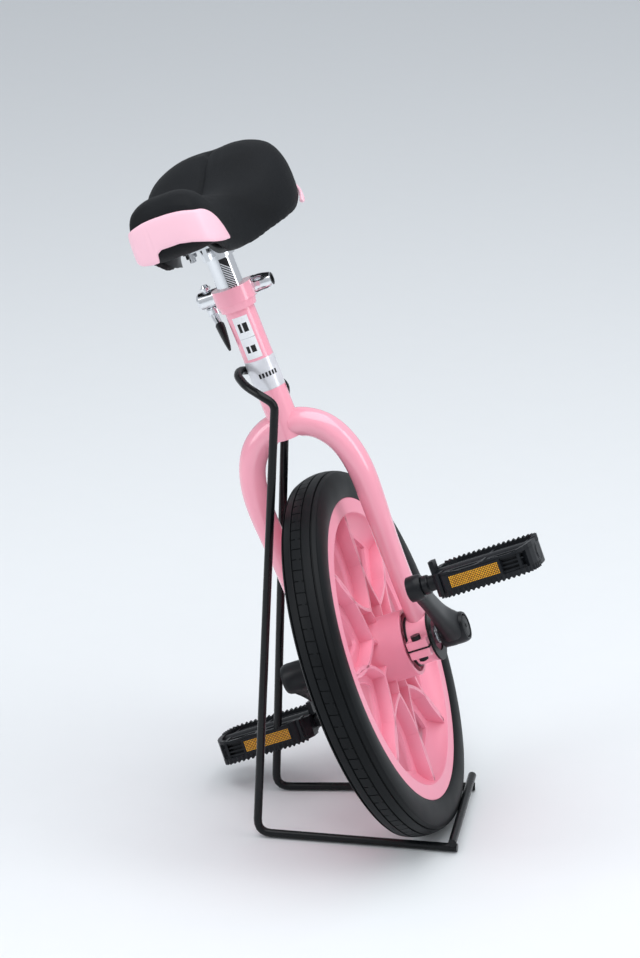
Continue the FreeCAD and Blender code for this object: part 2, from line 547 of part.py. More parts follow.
def lever_section(x, y, z, across, thick, rot, name):
    pts = []
    for k in range(10):
        q = 2 * math.pi * k / 10
        pts.append((across / 2 * math.cos(q), thick / 2 * math.sin(q)))
    return spline_sketch(name, pts, rot, at=(x, y, z))


def facing(dx, dy, dz):
    """The plane across a lever section, its long side held close to the vertical plane of travel."""
    tangent = V(dx, dy, dz).normalize()
    return Rotation(V(0, 0, 1).cross(tangent), V(0, 0, 1), tangent, "ZXY")


LEVER = [(-32.0, 25.0, 353.6, 8.0, 8.0), (-31.0, 20.0, 350.0, 7.6, 6.6), (-28.6, 14.0, 345.6, 7.0, 6.4),
         (-26.2, 8.5, 341.4, 7.0, 6.6)]
GRIP = [(-26.6, 9.4, 342.2, 8.6, 10.0), (-25.0, 5.0, 338.2, 8.2, 13.0), (-23.2, -0.5, 332.2, 6.8, 13.6),
        (-21.6, -5.4, 325.6, 4.8, 10.6), (-20.6, -8.6, 321.0, 2.6, 6.0)]


def bar(name, stations):
    made = []
    for i, (x, y, z, w, h) in enumerate(stations):
        a, b = stations[max(i - 1, 0)], stations[min(i + 1, len(stations) - 1)]
        made.append(lever_section(x, y, z, w, h, facing(b[0] - a[0], b[1] - a[1], b[2] - a[2]), f"{name}_{i}"))
    return loft(name, made)


lever_bar = bar("lever_bar", LEVER)
lever = fuse("lever_solid", pin, hub, lever_bar)
node("qr_lever", lever, FRAME)
grip = cut("grip_cut", bar("lever_grip", GRIP), bar("lever_bar_core", LEVER))
node("qr_lever_grip", grip, FRAME)
knob = fuse("knob_solid", cyl("knob_base", 5.0, 2.2, (-32.0, ly, sz + 9.6)),
            cone("knob_top", 4.2, 2.6, 2.6, (-32.0, ly, sz + 11.8)))
node("qr_pin_nut", cut("knob_cut", knob, cyl("knob_bore", 3.2, 1.5, (-32.0, ly, sz + 9.5))), FRAME)

# stickers round the tube, thin and plain
label_ring = cut("label_ring", cyl("label_o", 14.55, 40.0, (0, 0, 308.0)), cyl("label_i", 14.3, 40.0, (0, 0, 308.0)))
label_keep = sketch("label_wedge", chain([(0, 0), (-14.0, -30.0), (22.0, -30.0)]), LEVEL, at=(0, 0, 300.0))
node("front_label", common("label_cut", label_ring, extrude("label_wedge_solid", label_keep, V(0, 0, 1), 60)), FRAME)
node("tube_band", cut("band_ring", cyl("band_o", 14.5, 30.0, (0, 0, 274.0)), cyl("band_i", 14.3, 30.0, (0, 0, 274.0))),
     FRAME)

# ---------------------------------------------------------------- seat
pz0, pz1 = S["post_bottom"], S["post_top"]
post = cut("post_cut", cyl("post_outer", S["post_od"] / 2, pz1 - pz0, (0, 0, pz0), "Z",
                           {"Radius": "Sizes.post_od / 2", "Height": "Sizes.post_top - Sizes.post_bottom"}),
           cyl("post_inner", S["post_id"] / 2, 200, (0, 0, pz0 - 10), "Z", {"Radius": "Sizes.post_id / 2"}))
node("seat_post", post, FRAME)
STUDS = [(-15.0, -30.0), (15.0, -30.0), (-15.0, 30.0), (15.0, 30.0)]
plate = box("bracket_plate", (40.0, 74.0, 3.0), (-20.0, -37.0, pz1))
socket = cyl("bracket_socket", 15.4, 16.0, (0, 0, pz1 - 16.0))
web_a = box("bracket_web_f", (4.0, 22.0, 12.0), (-2.0, -36.0, pz1 - 12.0))
web_b = box("bracket_web_b", (4.0, 22.0, 12.0), (-2.0, 14.0, pz1 - 12.0))
bracket = cut("bracket_cut", fuse("bracket_blank", plate, socket, web_a, web_b),
              cyl("bracket_bore", S["post_od"] / 2 + 0.02, 17.0, (0, 0, pz1 - 17.0)),
              *[cyl(f"bracket_hole_{k}", 3.1, 10, (x, y, pz1 - 4.0)) for k, (x, y) in enumerate(STUDS)])
node("seat_bracket", bracket, FRAME)

# (y, half width, underside z, top z, depth of the middle channel)
SADDLE = [(-121.0, 23.5, 445.5, 474.0, 0.0), (-116.5, 33.0, 439.0, 484.0, 0.0), (-106.0, 37.0, 433.0, 489.5, 0.0),
          (-88.0, 38.0, 425.5, 489.0, 0.0), (-65.0, 37.2, 414.0, 480.5, 0.0), (-40.0, 40.2, 409.0, 470.0, 0.8),
          (-15.0, 47.0, 405.5, 463.0, 1.5), (10.0, 58.0, 406.5, 463.5, 2.0), (35.0, 69.2, 407.5, 471.0, 2.4),
          (60.0, 74.4, 409.0, 481.5, 2.4), (84.0, 71.6, 414.5, 488.0, 1.8), (104.0, 60.7, 422.0, 489.5, 1.0),
          (115.5, 44.4, 430.5, 487.0, 0.4), (121.0, 24.5, 442.0, 479.5, 0.0)]


def saddle_sections(name, side_in, top_in, drop, keep=None):
    """Cross sections of the saddle; side_in and top_in shrink them, drop deepens the underside."""
    made = []
    for i, (y, w, zb, zt, ch) in enumerate(SADDLE):
        if keep is not None and not keep(y):
            continue
        w2, zt2, zb2 = w - side_in, zt - top_in, zb - drop
        h = zt2 - zb2
        half = [(0.52, 0.0), (0.86, 0.035), (0.975, 0.14), (1.0, 0.36), (0.975, 0.62), (0.86, 0.84), (0.62, 0.955),
                (0.32, 1.0)]
        right = [(w2 * a, zb2 + h * b) for a, b in half]
        left = [(-x, z) for x, z in reversed(right)]
        pts = [(0, zb2)] + right + [(0, zt2 - ch)] + left
        made.append(spline_sketch(f"{name}_{i}", pts, UPRIGHT, at=(0, y, 0)))
    return made


outer = loft("saddle_outer", saddle_sections("saddle_o", 0.0, 0.0, 0.0))
inside = saddle_sections("pan_o", 9.0, 30.0, 9.0, keep=lambda y: -117 < y < 116)
pan_outer = loft("pan_outer", inside)
hollow = saddle_sections("pan_i", 15.5, 35.0, 14.0, keep=lambda y: -110 < y < 110)
pan_inner = loft("pan_inner", hollow)
node("saddle_cushion", cut("cushion_cut", outer, pan_outer), FRAME)
pan_solid = loft("pan_solid", saddle_sections("pan_p", 13.0, 32.0, -2.0, keep=lambda y: -117 < y < 116))
pan_shell = cut("pan_shell", pan_solid, pan_inner)
bosses = [cyl(f"pan_boss_{k}", 7.0, 9.4 if y < 0 else 11.8, (x, y, pz1 + 3.0)) for k, (x, y) in enumerate(STUDS)]
pan_blank = fuse("pan_blank", pan_shell, *bosses)
pan_blank.Refine = False
pan = cut("pan_cut", pan_blank,
          *[cyl(f"pan_stud_hole_{k}", 3.0, 6.0, (x, y, pz1 + 2.0)) for k, (x, y) in enumerate(STUDS)])
node("saddle_base", pan, FRAME)
for k, (x, y) in enumerate(STUDS):
    bolt = fuse(f"stud_{k}_solid", cyl(f"stud_{k}", 3.0, 16.0, (x, y, pz1 - 9.0)),
                cyl(f"stud_{k}_nut", 5.2, 4.6, (x, y, pz1 - 4.6)))
    node(f"seat_bolt_{k + 1}", bolt, FRAME)

# bumpers: a band round each end of the saddle, trimmed to its outline seen from the side


def front_line(grow):
    """Half the saddle's front outline seen from above, grown outwards, from the side to the tip."""
    return [(37.9 + grow, -66.0), (38.5 + grow, -88.0), (37.5 + grow, -106.0 - grow * 0.2),
            (33.4 + grow * 0.8, -116.9 - grow * 0.6), (24.0 + grow * 0.4, -121.4 - grow * 0.9),
            (12.0, -122.3 - grow)], (0.0, -122.4 - grow)


def rear_line(grow):
    return [(74.7 + grow, 62.0), (74.0 + grow, 74.0), (71.3 + grow, 86.0 + grow * 0.2),
            (66.2 + grow * 0.85, 96.5 + grow * 0.45), (58.6 + grow * 0.7, 106.6 + grow * 0.65),
            (46.0 + grow * 0.5, 116.2 + grow * 0.8), (26.0, 121.5 + grow)], (0.0, 122.4 + grow)


def plan_band(name, half_line, thin, thick, z, height):
    """The band between two grown outlines, standing up from height z."""
    band = doc.addObject("Sketcher::SketchObject", f"{name}_plan")
    band.Placement = Placement(V(0, 0, z), LEVEL)
    lines = []
    for grow in (thin, thick):
        half, tip = half_line(grow)
        lines.append(half + [tip] + [(-x, y) for x, y in reversed(half)])
        curve = Part.BSplineCurve()
        curve.interpolate(Points=[V(x, y, 0) for x, y in lines[-1]])
        band.addGeometry(curve, False)
    for end in (0, -1):
        band.addGeometry(Part.LineSegment(V(*lines[0][end], 0), V(*lines[1][end], 0)), False)
    return extrude(f"{name}_band", band, V(0, 0, 1), height)


keep_front = sketch("bumper_front_side", [
    ((-134.0, 436.0), (-134.0, 475.0)),
    ((-134.0, 475.0), (-123.6, 474.6)),
    ((-123.6, 474.6), (-113.0, 464.4), (-101.0, 456.0)),
    ((-101.0, 456.0), (-88.0, 446.0), (-75.0, 430.0)),
    ((-75.0, 430.0), (-76.0, 428.8)),
    ((-76.0, 428.8), (-98.0, 432.8), (-134.0, 436.0)),
], ENDWISE, at=(-80, 0, 0))
finger_gap = sketch("bumper_finger_gap", chain([
    (-14.5, 420.0), (-14.5, 442.5), (-10.0, 446.0), (16.0, 446.0), (34.0, 436.0), (34.0, 420.0)]),
    UPRIGHT, at=(0, -95, 0))
front_trim = common("bumper_front_trim", plan_band("bumper_front", front_line, 0.4, 3.2, 420.0, 60.0),
                    extrude("bumper_front_block", keep_front, V(1, 0, 0), 160))
node("front_bumper", cut("bumper_front_gapped", front_trim,
                         extrude("bumper_finger_gap_cut", finger_gap, V(0, -1, 0), 45)), FRAME)
keep_rear = sketch("bumper_rear_side", [
    ((60.0, 420.0), (60.0, 431.0)),
    ((60.0, 431.0), (84.0, 440.0), (134.0, 452.0)),
    ((134.0, 452.0), (134.0, 438.0)),
    ((134.0, 438.0), (100.0, 427.0), (60.0, 420.0)),
], ENDWISE, at=(-90, 0, 0))
node("rear_bumper", common("bumper_rear_trim", plan_band("bumper_rear", rear_line, 0.4, 3.2, 415.0, 45.0),
                           extrude("bumper_rear_block", keep_rear, V(1, 0, 0), 180)), FRAME)

# ---------------------------------------------------------------- check and write
doc.recompute()
bad = [o.Name for o in doc.Objects if not o.isValid() or "Invalid" in o.State or "Error" in o.State]
if bad:
    raise SystemExit(f"objects in error: {bad}")
for name, obj in NODES.items():
    shape = obj.Shape
    if shape.isNull() or not shape.isValid() or not shape.Solids:
        raise SystemExit(f"{name}: null, invalid or no solid")
    if len(shape.Solids) != 1:
        print("NOTE", name, "has", len(shape.Solids), "solids")
    box_ = shape.BoundBox
    print(f"{name:26s} vol {shape.Volume / 1000:9.2f} cm3  x {box_.XMin:7.1f} {box_.XMax:7.1f}"
          f"  y {box_.YMin:7.1f} {box_.YMax:7.1f}  z {box_.ZMin:7.1f} {box_.ZMax:7.1f}")
    shape.exportStep(f"parts/{name}.step")
    if name == "wheel_moulding":
        print("faces", len(shape.Faces))
print(len(NODES), "pieces")
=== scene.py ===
import json
import math

import bmesh
import bpy
from mathutils import Matrix, Vector


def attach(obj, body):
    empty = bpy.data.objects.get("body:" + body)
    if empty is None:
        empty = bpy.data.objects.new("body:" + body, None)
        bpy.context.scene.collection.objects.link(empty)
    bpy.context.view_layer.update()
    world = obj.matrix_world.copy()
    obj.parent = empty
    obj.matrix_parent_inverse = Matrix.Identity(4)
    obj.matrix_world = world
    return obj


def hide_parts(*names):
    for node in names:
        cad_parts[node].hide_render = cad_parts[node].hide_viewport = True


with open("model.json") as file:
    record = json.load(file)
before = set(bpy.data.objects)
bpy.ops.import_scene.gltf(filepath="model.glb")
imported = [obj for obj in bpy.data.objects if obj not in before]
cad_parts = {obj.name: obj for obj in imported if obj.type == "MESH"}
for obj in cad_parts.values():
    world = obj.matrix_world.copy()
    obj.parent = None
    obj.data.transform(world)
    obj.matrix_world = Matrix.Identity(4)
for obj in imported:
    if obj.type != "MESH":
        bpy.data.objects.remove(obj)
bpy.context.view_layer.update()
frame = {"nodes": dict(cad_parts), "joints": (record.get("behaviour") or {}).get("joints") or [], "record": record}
NODE = frame["nodes"]
JOINT = {j["name"]: j for j in frame["joints"]}

# ---------------------------------------------------------------- where things are
# Pieces are drawn in millimetres on an upright unicycle: origin at the middle of the axle, X along
# the axle to the right, Y to the back, Z up. These matrices lean and shrink them into the row frame.


def placed(x, y, z, origin):
    turn = Matrix((x, y, z)).transposed().to_4x4()
    return Matrix.Translation(origin) @ turn @ Matrix.Scale(0.001, 4)


AXLE = Vector(JOINT["wheel_spin"]["pos_m"])
AX = Vector(JOINT["wheel_spin"]["axis"]).normalized()
UP = Vector(JOINT["seat_height"]["axis"]).normalized()
BACK = Vector((0.0, 1.0, 0.0))
WHEEL = placed(AX, BACK, AX.cross(BACK), AXLE)
FORK = placed(AX, UP.cross(AX), UP, AXLE)
PEDAL_TILT = math.radians(-10.0)


def pedal_place(joint):
    turned = Matrix.Rotation(PEDAL_TILT, 4, "X")
    return placed(AX, BACK, AX.cross(BACK), Vector(JOINT[joint]["pos_m"])) @ turned


PEDALS = {"right": pedal_place("right_pedal_spin"), "left": pedal_place("left_pedal_spin")}
SIDES = {"right": 1.0, "left": -1.0}

# ---------------------------------------------------------------- materials


def material(name, colour, rough, metal=0.0, coat=0.0, mottle=0.06, mottle_size=30.0, grain=900.0,
             bump=0.05, bump_depth=0.0002, rough_vary=0.08, specular=0.5):
    """Base colour, roughness and bump all vary with noise read in the piece's own space."""
    mat = bpy.data.materials.new(name)
    mat.use_nodes = True
    tree = mat.node_tree
    shader = tree.nodes["Principled BSDF"]
    link = tree.links.new
    where = tree.nodes.new("ShaderNodeTexCoord").outputs["Object"]

    broad = tree.nodes.new("ShaderNodeTexNoise")
    broad.inputs["Scale"].default_value = mottle_size
    broad.inputs["Detail"].default_value = 4.0
    link(where, broad.inputs["Vector"])
    tint = tree.nodes.new("ShaderNodeValToRGB")
    tint.color_ramp.elements[0].position = 0.3
    tint.color_ramp.elements[1].position = 0.7
    tint.color_ramp.elements[0].color = (*[c * (1 - mottle) for c in colour], 1)
    tint.color_ramp.elements[1].color = (*[min(1, c * (1 + mottle)) for c in colour], 1)
    link(broad.outputs["Fac"], tint.inputs["Fac"])
    link(tint.outputs["Color"], shader.inputs["Base Color"])

    fine = tree.nodes.new("ShaderNodeTexNoise")
    fine.inputs["Scale"].default_value = grain
    fine.inputs["Detail"].default_value = 3.0
    link(where, fine.inputs["Vector"])
    vary = tree.nodes.new("ShaderNodeMapRange")
    vary.inputs["To Min"].default_value = max(0.02, rough - rough_vary)
    vary.inputs["To Max"].default_value = min(1.0, rough + rough_vary)
    link(broad.outputs["Fac"], vary.inputs["Value"])
    link(vary.outputs["Result"], shader.inputs["Roughness"])
    raise_ = tree.nodes.new("ShaderNodeBump")
    raise_.name = "grain_bump"
    raise_.inputs["Strength"].default_value = bump
    raise_.inputs["Distance"].default_value = bump_depth
    link(fine.outputs["Fac"], raise_.inputs["Height"])
    link(raise_.outputs["Normal"], shader.inputs["Normal"])

    shader.inputs["Metallic"].default_value = metal
    shader.inputs["Coat Weight"].default_value = coat
    shader.inputs["Coat Roughness"].default_value = 0.06
    shader.inputs["Specular IOR Level"].default_value = specular
    return mat


def pebbled(mat, size, strength, depth):
    """Adds a pebble grain of cells under the fine noise, as on moulded vinyl."""
    tree = mat.node_tree
    cells = tree.nodes.new("ShaderNodeTexVoronoi")
    cells.inputs["Scale"].default_value = size
    tree.links.new(tree.nodes["Texture Coordinate"].outputs["Object"], cells.inputs["Vector"])
    raise_ = tree.nodes.new("ShaderNodeBump")
    raise_.inputs["Strength"].default_value = strength
    raise_.inputs["Distance"].default_value = depth
    tree.links.new(cells.outputs["Distance"], raise_.inputs["Height"])
    tree.links.new(raise_.outputs["Normal"], tree.nodes["grain_bump"].inputs["Normal"])
    return mat


PAINT = material("pink_paint", (0.95, 0.375, 0.48), 0.20, coat=0.9, mottle=0.012, bump=0.03, grain=500)
MOULDED = material("pink_moulding", (0.86, 0.30, 0.405), 0.38, mottle=0.02, bump=0.06, grain=1200)
BUMPER = material("pale_pink_plastic", (0.97, 0.58, 0.68), 0.40, mottle=0.015, bump=0.05, grain=1400)
RUBBER = material("tyre_rubber", (0.0055, 0.0065, 0.0075), 0.46, mottle=0.2, bump=0.25, grain=1600,
                  rough_vary=0.1, specular=0.14)
CHROME = material("chrome", (0.80, 0.815, 0.84), 0.17, metal=1.0, mottle=0.03, bump=0.01, rough_vary=0.03)
RIDGE = material("knurled_chrome", (0.84, 0.86, 0.89), 0.36, metal=0.3, mottle=0.03, bump=0.02)
STEEL = material("zinc_steel", (0.54, 0.55, 0.57), 0.27, metal=1.0, mottle=0.08, bump=0.08)
CRANK = material("satin_black_paint", (0.009, 0.010, 0.012), 0.32, mottle=0.12, bump=0.12, grain=1500,
                 specular=0.22)
BLACK = material("black_plastic", (0.006, 0.007, 0.008), 0.40, mottle=0.15, bump=0.2, grain=1800,
                 specular=0.22)
PEDAL = material("pedal_plastic", (0.008, 0.0095, 0.012), 0.42, mottle=0.2, bump=0.3, grain=1300,
                 specular=0.22)
VINYL = pebbled(material("saddle_vinyl", (0.0065, 0.0075, 0.009), 0.62, mottle=0.18, bump=0.3, grain=2200,
                         rough_vary=0.06, specular=0.15), 1100.0, 0.6, 0.0003)
AMBER = material("amber_lens", (0.95, 0.42, 0.02), 0.22, coat=0.5, mottle=0.18, mottle_size=260, bump=0.1)
# a darker amber that is painted shade for the grooves between the reflector's cells
AMBER_GROOVE_SHADE = material("amber_painted_groove_shade", (0.34, 0.11, 0.006), 0.3, mottle=0.15, mottle_size=260, bump=0.1)
LABEL = material("white_film", (0.84, 0.85, 0.88), 0.25, mottle=0.02, bump=0.03)
BAND = material("silver_film", (0.80, 0.80, 0.84), 0.24, metal=0.35, mottle=0.1, mottle_size=60, bump=0.03)
# black print on the label and band, also used as painted shade under the knurl's ridges
INK_AND_SHADE = material("black_ink_and_painted_shade", (0.012, 0.012, 0.014), 0.45, mottle=0.1, bump=0.05, specular=0.3)

SLOT_MATERIAL = {
    "painted_frame": PAINT, "wheel_plastic": MOULDED, "bumper_plastic": BUMPER, "tyre_rubber": RUBBER,
    "chromed_steel": CHROME, "bright_steel": STEEL, "black_painted_metal": CRANK, "black_plastic": BLACK,
    "pedal_plastic": PEDAL, "saddle_cover": VINYL, "amber_reflector": AMBER, "white_sticker": LABEL,
    "clear_band": BAND,
}
for part in frame["record"]["subparts"]:
    shown = NODE[part["node"]]
    shown.data.materials.clear()
    shown.data.materials.append(SLOT_MATERIAL[part["material_slot"]])

# ---------------------------------------------------------------- mesh tools


class Shape:
    """Vertices and faces of one piece, in millimetres, built from simple closed forms."""

    def __init__(self):
        self.verts, self.faces, self.paint = [], [], []

    def add(self, verts, faces, paint=0):
        start = len(self.verts)
        self.verts += [tuple(v) for v in verts]
        self.faces += [[start + i for i in f] for f in faces]
        self.paint += [paint] * len(faces)
        return self

    def rings(self, rings, caps=True, closed=False, paint=0):
        """A skin over rings of equal length; closed joins the last ring to the first."""
        n = len(rings[0])
        verts = [p for ring in rings for p in ring]
        faces = []
        for i in range(len(rings) - (0 if closed else 1)):
            a, b = i * n, (i + 1) % len(rings) * n
            faces += [[a + k, a + (k + 1) % n, b + (k + 1) % n, b + k] for k in range(n)]
        if caps and not closed:
            faces += [list(range(n))[::-1], [len(verts) - n + k for k in range(n)]]
        return self.add(verts, faces, paint)

    def turned(self, profile, centre=(0, 0, 0), axis="X", segs=48, closed=False, paint=0):
        """A profile of (along, radius) turned about an axis; an open one is capped."""
        rings = []
        for along, radius in profile:
            ring = []
            for k in range(segs):
                q = 2 * math.pi * k / segs
                c, s = radius * math.cos(q), radius * math.sin(q)
                local = {"X": (along, c, s), "Z": (c, s, along)}[axis]
                ring.append(tuple(a + b for a, b in zip(local, centre)))
            rings.append(ring)
        return self.rings(rings, closed=closed, paint=paint)

    def block(self, lo, hi, paint=0):
        corners = [(x, y, z) for x in (lo[0], hi[0]) for y in (lo[1], hi[1]) for z in (lo[2], hi[2])]
        quads = [[0, 1, 3, 2], [4, 6, 7, 5], [0, 4, 5, 1], [2, 3, 7, 6], [0, 2, 6, 4], [1, 5, 7, 3]]
        return self.add(corners, quads, paint)

    def plate(self, outline, holes, lo, hi, plane="XY", bevel=0.0, paint=0):
        """A flat plate with holes, filled as a 2D curve and given thickness and eased edges."""
        data = bpy.data.curves.new("plate", "CURVE")
        data.dimensions = "2D"
        data.fill_mode = "BOTH"
        data.extrude = (hi - lo) / 2 - bevel
        data.bevel_depth = bevel
        data.bevel_resolution = 1
        data.offset = -bevel
        for loop in [outline, *holes]:
            line = data.splines.new("POLY")
            line.points.add(len(loop) - 1)
            for point, (a, b) in zip(line.points, loop):
                point.co = (a, b, 0, 1)
            line.use_cyclic_u = True
        temp = bpy.data.objects.new("plate", data)
        mesh = bpy.data.meshes.new_from_object(temp)
        mid = (lo + hi) / 2
        spin = {"XY": lambda v: (v.x, v.y, v.z + mid), "YZ": lambda v: (v.z + mid, v.x, v.y),
                "XZ": lambda v: (v.x, v.z + mid, v.y)}[plane]
        self.add([spin(v.co) for v in mesh.vertices], [list(p.vertices) for p in mesh.polygons], paint)
        bpy.data.objects.remove(temp)
        bpy.data.meshes.remove(mesh)
        bpy.data.curves.remove(data)
        return self

    def done(self, name, where, body, slot, stands_for=(), mats=None, bevel=0.0, smooth=35.0):
        mesh = bpy.data.meshes.new(name)
        mesh.from_pydata([where @ Vector(v) for v in self.verts], [], self.faces)
        for mat in mats or [SLOT_MATERIAL[slot]]:
            mesh.materials.append(mat)
        mesh.polygons.foreach_set("material_index", self.paint)
        tidy = bmesh.new()
        tidy.from_mesh(mesh)
        bmesh.ops.remove_doubles(tidy, verts=tidy.verts, dist=0.00001)
        bmesh.ops.recalc_face_normals(tidy, faces=tidy.faces)
        tidy.to_mesh(mesh)
        tidy.free()
        piece = bpy.data.objects.new(name, mesh)
        bpy.context.scene.collection.objects.link(piece)
        if bevel:
            ease = piece.modifiers.new("eased_edges", "BEVEL")
            ease.width = bevel / 1000
            ease.segments = 2
            ease.limit_method = "ANGLE"
            ease.angle_limit = math.radians(30.0)
            ease.use_clamp_overlap = True
        mesh.shade_smooth()
        mesh.set_sharp_from_angle(angle=math.radians(smooth))
        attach(piece, body)
        if stands_for:
            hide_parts(*stands_for)
        return piece


def blended(stations, steps):
    """Catmull-Rom values between rows of numbers."""

    def between(a, b, c, d, t):
        return 0.5 * ((2 * b) + (c - a) * t + (2 * a - 5 * b + 4 * c - d) * t * t
                      + (3 * b - a - 3 * c + d) * t ** 3)

    rows = []
    last = len(stations) - 1
    for i in range(last):
        near = [stations[max(0, min(last, i + k))] for k in (-1, 0, 1, 2)]
        rows += [[between(*values, s / steps) for values in zip(*near)] for s in range(steps)]
    rows.append(list(stations[-1]))
    return rows


def oval(n, half_a, half_b, power=2.0):
    """A superellipse, from round (2) to nearly square (5)."""
    points = []
    for k in range(n):
        q = 2 * math.pi * k / n
        c, s = math.cos(q), math.sin(q)
        points.append((half_a * math.copysign(abs(c) ** (2 / power), c),
                       half_b * math.copysign(abs(s) ** (2 / power), s)))
    return points


def mirrored(points, side):
    """Points of the right-hand side, or with side -1 their mirror image on the left."""
    return [(side * x, y) for x, y in points]


def arc(cx, cy, r, start, end, steps):
    """Points of an arc from start to end, in degrees, both ends included."""
    turned = [math.radians(start + (end - start) * k / steps) for k in range(steps + 1)]
    return [(cx + r * math.cos(q), cy + r * math.sin(q)) for q in turned]


# ---------------------------------------------------------------- tyre
def tyre():
    crown_radius, crown_centre = 40.0, 137.8

    def crown(x):
        return crown_centre + math.sqrt(crown_radius ** 2 - x * x)

    # (distance from the tread's middle, depth below the crown)
    half_tread = [(0.9, 0.0), (2.4, 0.0), (3.4, 0.0), (4.1, 0.0), (4.4, 0.2), (4.6, 1.5), (5.7, 1.5),
                  (5.9, 0.2), (6.2, 0.0), (8.6, 0.0), (11.0, 0.0), (12.8, 0.0), (13.2, 0.3),
                  (13.4, 2.0), (14.5, 2.0), (14.8, 0.3), (15.2, 0.0)]
    # (across, radius) from the tread's edge down the side wall to the bead
    side = [(17.0, 173.6), (17.3, 173.0), (17.6, 173.1), (18.9, 170.6), (19.9, 167.2), (20.4, 163.6),
            (20.45, 160.0), (20.2, 156.4), (19.5, 152.8), (18.6, 149.8), (17.8, 148.4), (14.0, 147.8),
            (13.9, 139.0)]
    middle = -1.6  # the mould line, and with it the pattern, runs a little to the left
    tread = [(middle - x, d) for x, d in reversed(half_tread)] + [(middle, 0.0)]
    tread += [(middle + x, d) for x, d in half_tread]
    profile = [(-x, r) for x, r in reversed(side)] + [(x, crown(x) - d) for x, d in tread] + side

    blocks, rib, slope = 96, 4.2, 0.08
    # (share of a block's length, depth of the sipe there); sipes cut the middle rib only, and every
    # second one is left whole over part of it
    cuts = ((0.0, 0.0), (0.45, 0.0), (0.90, 0.0), (0.915, 0.9), (0.975, 0.9))
    whole_from, whole_to = -0.5, 3.0
    rings = []
    for block in range(blocks):
        long_sipe = block % 2 == 0
        for part, cut in cuts:
            q = 2 * math.pi * (block + part) / blocks
            ring = []
            for x, r in profile:
                off = x - middle
                in_rib = abs(off) < rib
                slant = slope * off / rib * 2 * math.pi / blocks if in_rib else 0.0
                cut_here = in_rib and (long_sipe or off < whole_from or off > whole_to)
                sunk = cut if cut_here else 0.0
                ring.append((x, (r - sunk) * math.cos(q + slant), (r - sunk) * math.sin(q + slant)))
            rings.append(ring)
    skin = Shape()
    skin.rings(rings, closed=True)
    skin.done("tyre_tread", WHEEL, "wheel", "tyre_rubber", ("tyre",), smooth=28)


tyre()


# ---------------------------------------------------------------- one-piece wheel
PETALS, PETAL_WALL = 8, 1.5
PHASE = math.radians(11.5)  # turn of the first petal from straight back


def through(points, steps=10):
    """An arc through three points, without its last point."""
    a, b, c = (Vector(p) for p in points)
    aa, bb, cc = a.length_squared, b.length_squared, c.length_squared
    d = 2 * (a.x * (b.y - c.y) + b.x * (c.y - a.y) + c.x * (a.y - b.y))
    ux = (aa * (b.y - c.y) + bb * (c.y - a.y) + cc * (a.y - b.y)) / d
    uy = (aa * (c.x - b.x) + bb * (a.x - c.x) + cc * (b.x - a.x)) / d
    angles = [math.atan2(p.y - uy, p.x - ux) for p in (a, b, c)]
    for i in (1, 2):
        while angles[i] - angles[i - 1] > math.pi:
            angles[i] -= 2 * math.pi
        while angles[i] - angles[i - 1] < -math.pi:
            angles[i] += 2 * math.pi
    r = (a - Vector((ux, uy))).length
    span = angles[2] - angles[0]
    turned = [angles[0] + span * k / steps for k in range(steps)]
    return [(ux + r * math.cos(q), uy + r * math.sin(q)) for q in turned]


def polar(r, deg):
    return (r * math.cos(math.radians(deg)), r * math.sin(math.radians(deg)))


def spun(points, angle):
    c, s = math.cos(angle), math.sin(angle)
    return [(x * c - y * s, x * s + y * c) for x, y in points]


def window_line():
    """One opening of the web, a rounded kite that lies inside a petal."""
    low_out, low_in = polar(116, -15), (61, -4.5)
    high_out, high_in = polar(116, 15), (61, 4.5)
    return (through([low_out, (86, -21.5), low_in]) + through([low_in, (58.5, 0), high_in], 4)
            + through([high_in, (86, 21.5), high_out]) + through([high_out, (116, 0), low_out], 8))


def petal_line(wall):
    """The pointed arch of one petal as one closed line: out along one face, back along the other."""
    tip, outer_spread, inner_spread = 132.4, 23.2, 21.2
    shoulder, foot, foot_end = (78.0, 34.6), (43.5, wall), 29.5
    inner_shoulder, crotch = (80.0, 31.6), (47.5, 0.0)
    out = through([polar(tip, -outer_spread), (shoulder[0], -shoulder[1]), (foot[0], -wall)], 16)
    out += [(foot[0], -wall), (foot_end, -wall), (foot_end, wall)]
    out += through([foot, shoulder, polar(tip, outer_spread)], 16) + [polar(tip, outer_spread)]
    back = through([polar(tip, inner_spread), inner_shoulder, crotch], 16)
    back += through([crotch, (inner_shoulder[0], -inner_shoulder[1]), polar(tip, -inner_spread)], 16)
    return out + back + [polar(tip, -inner_spread)]


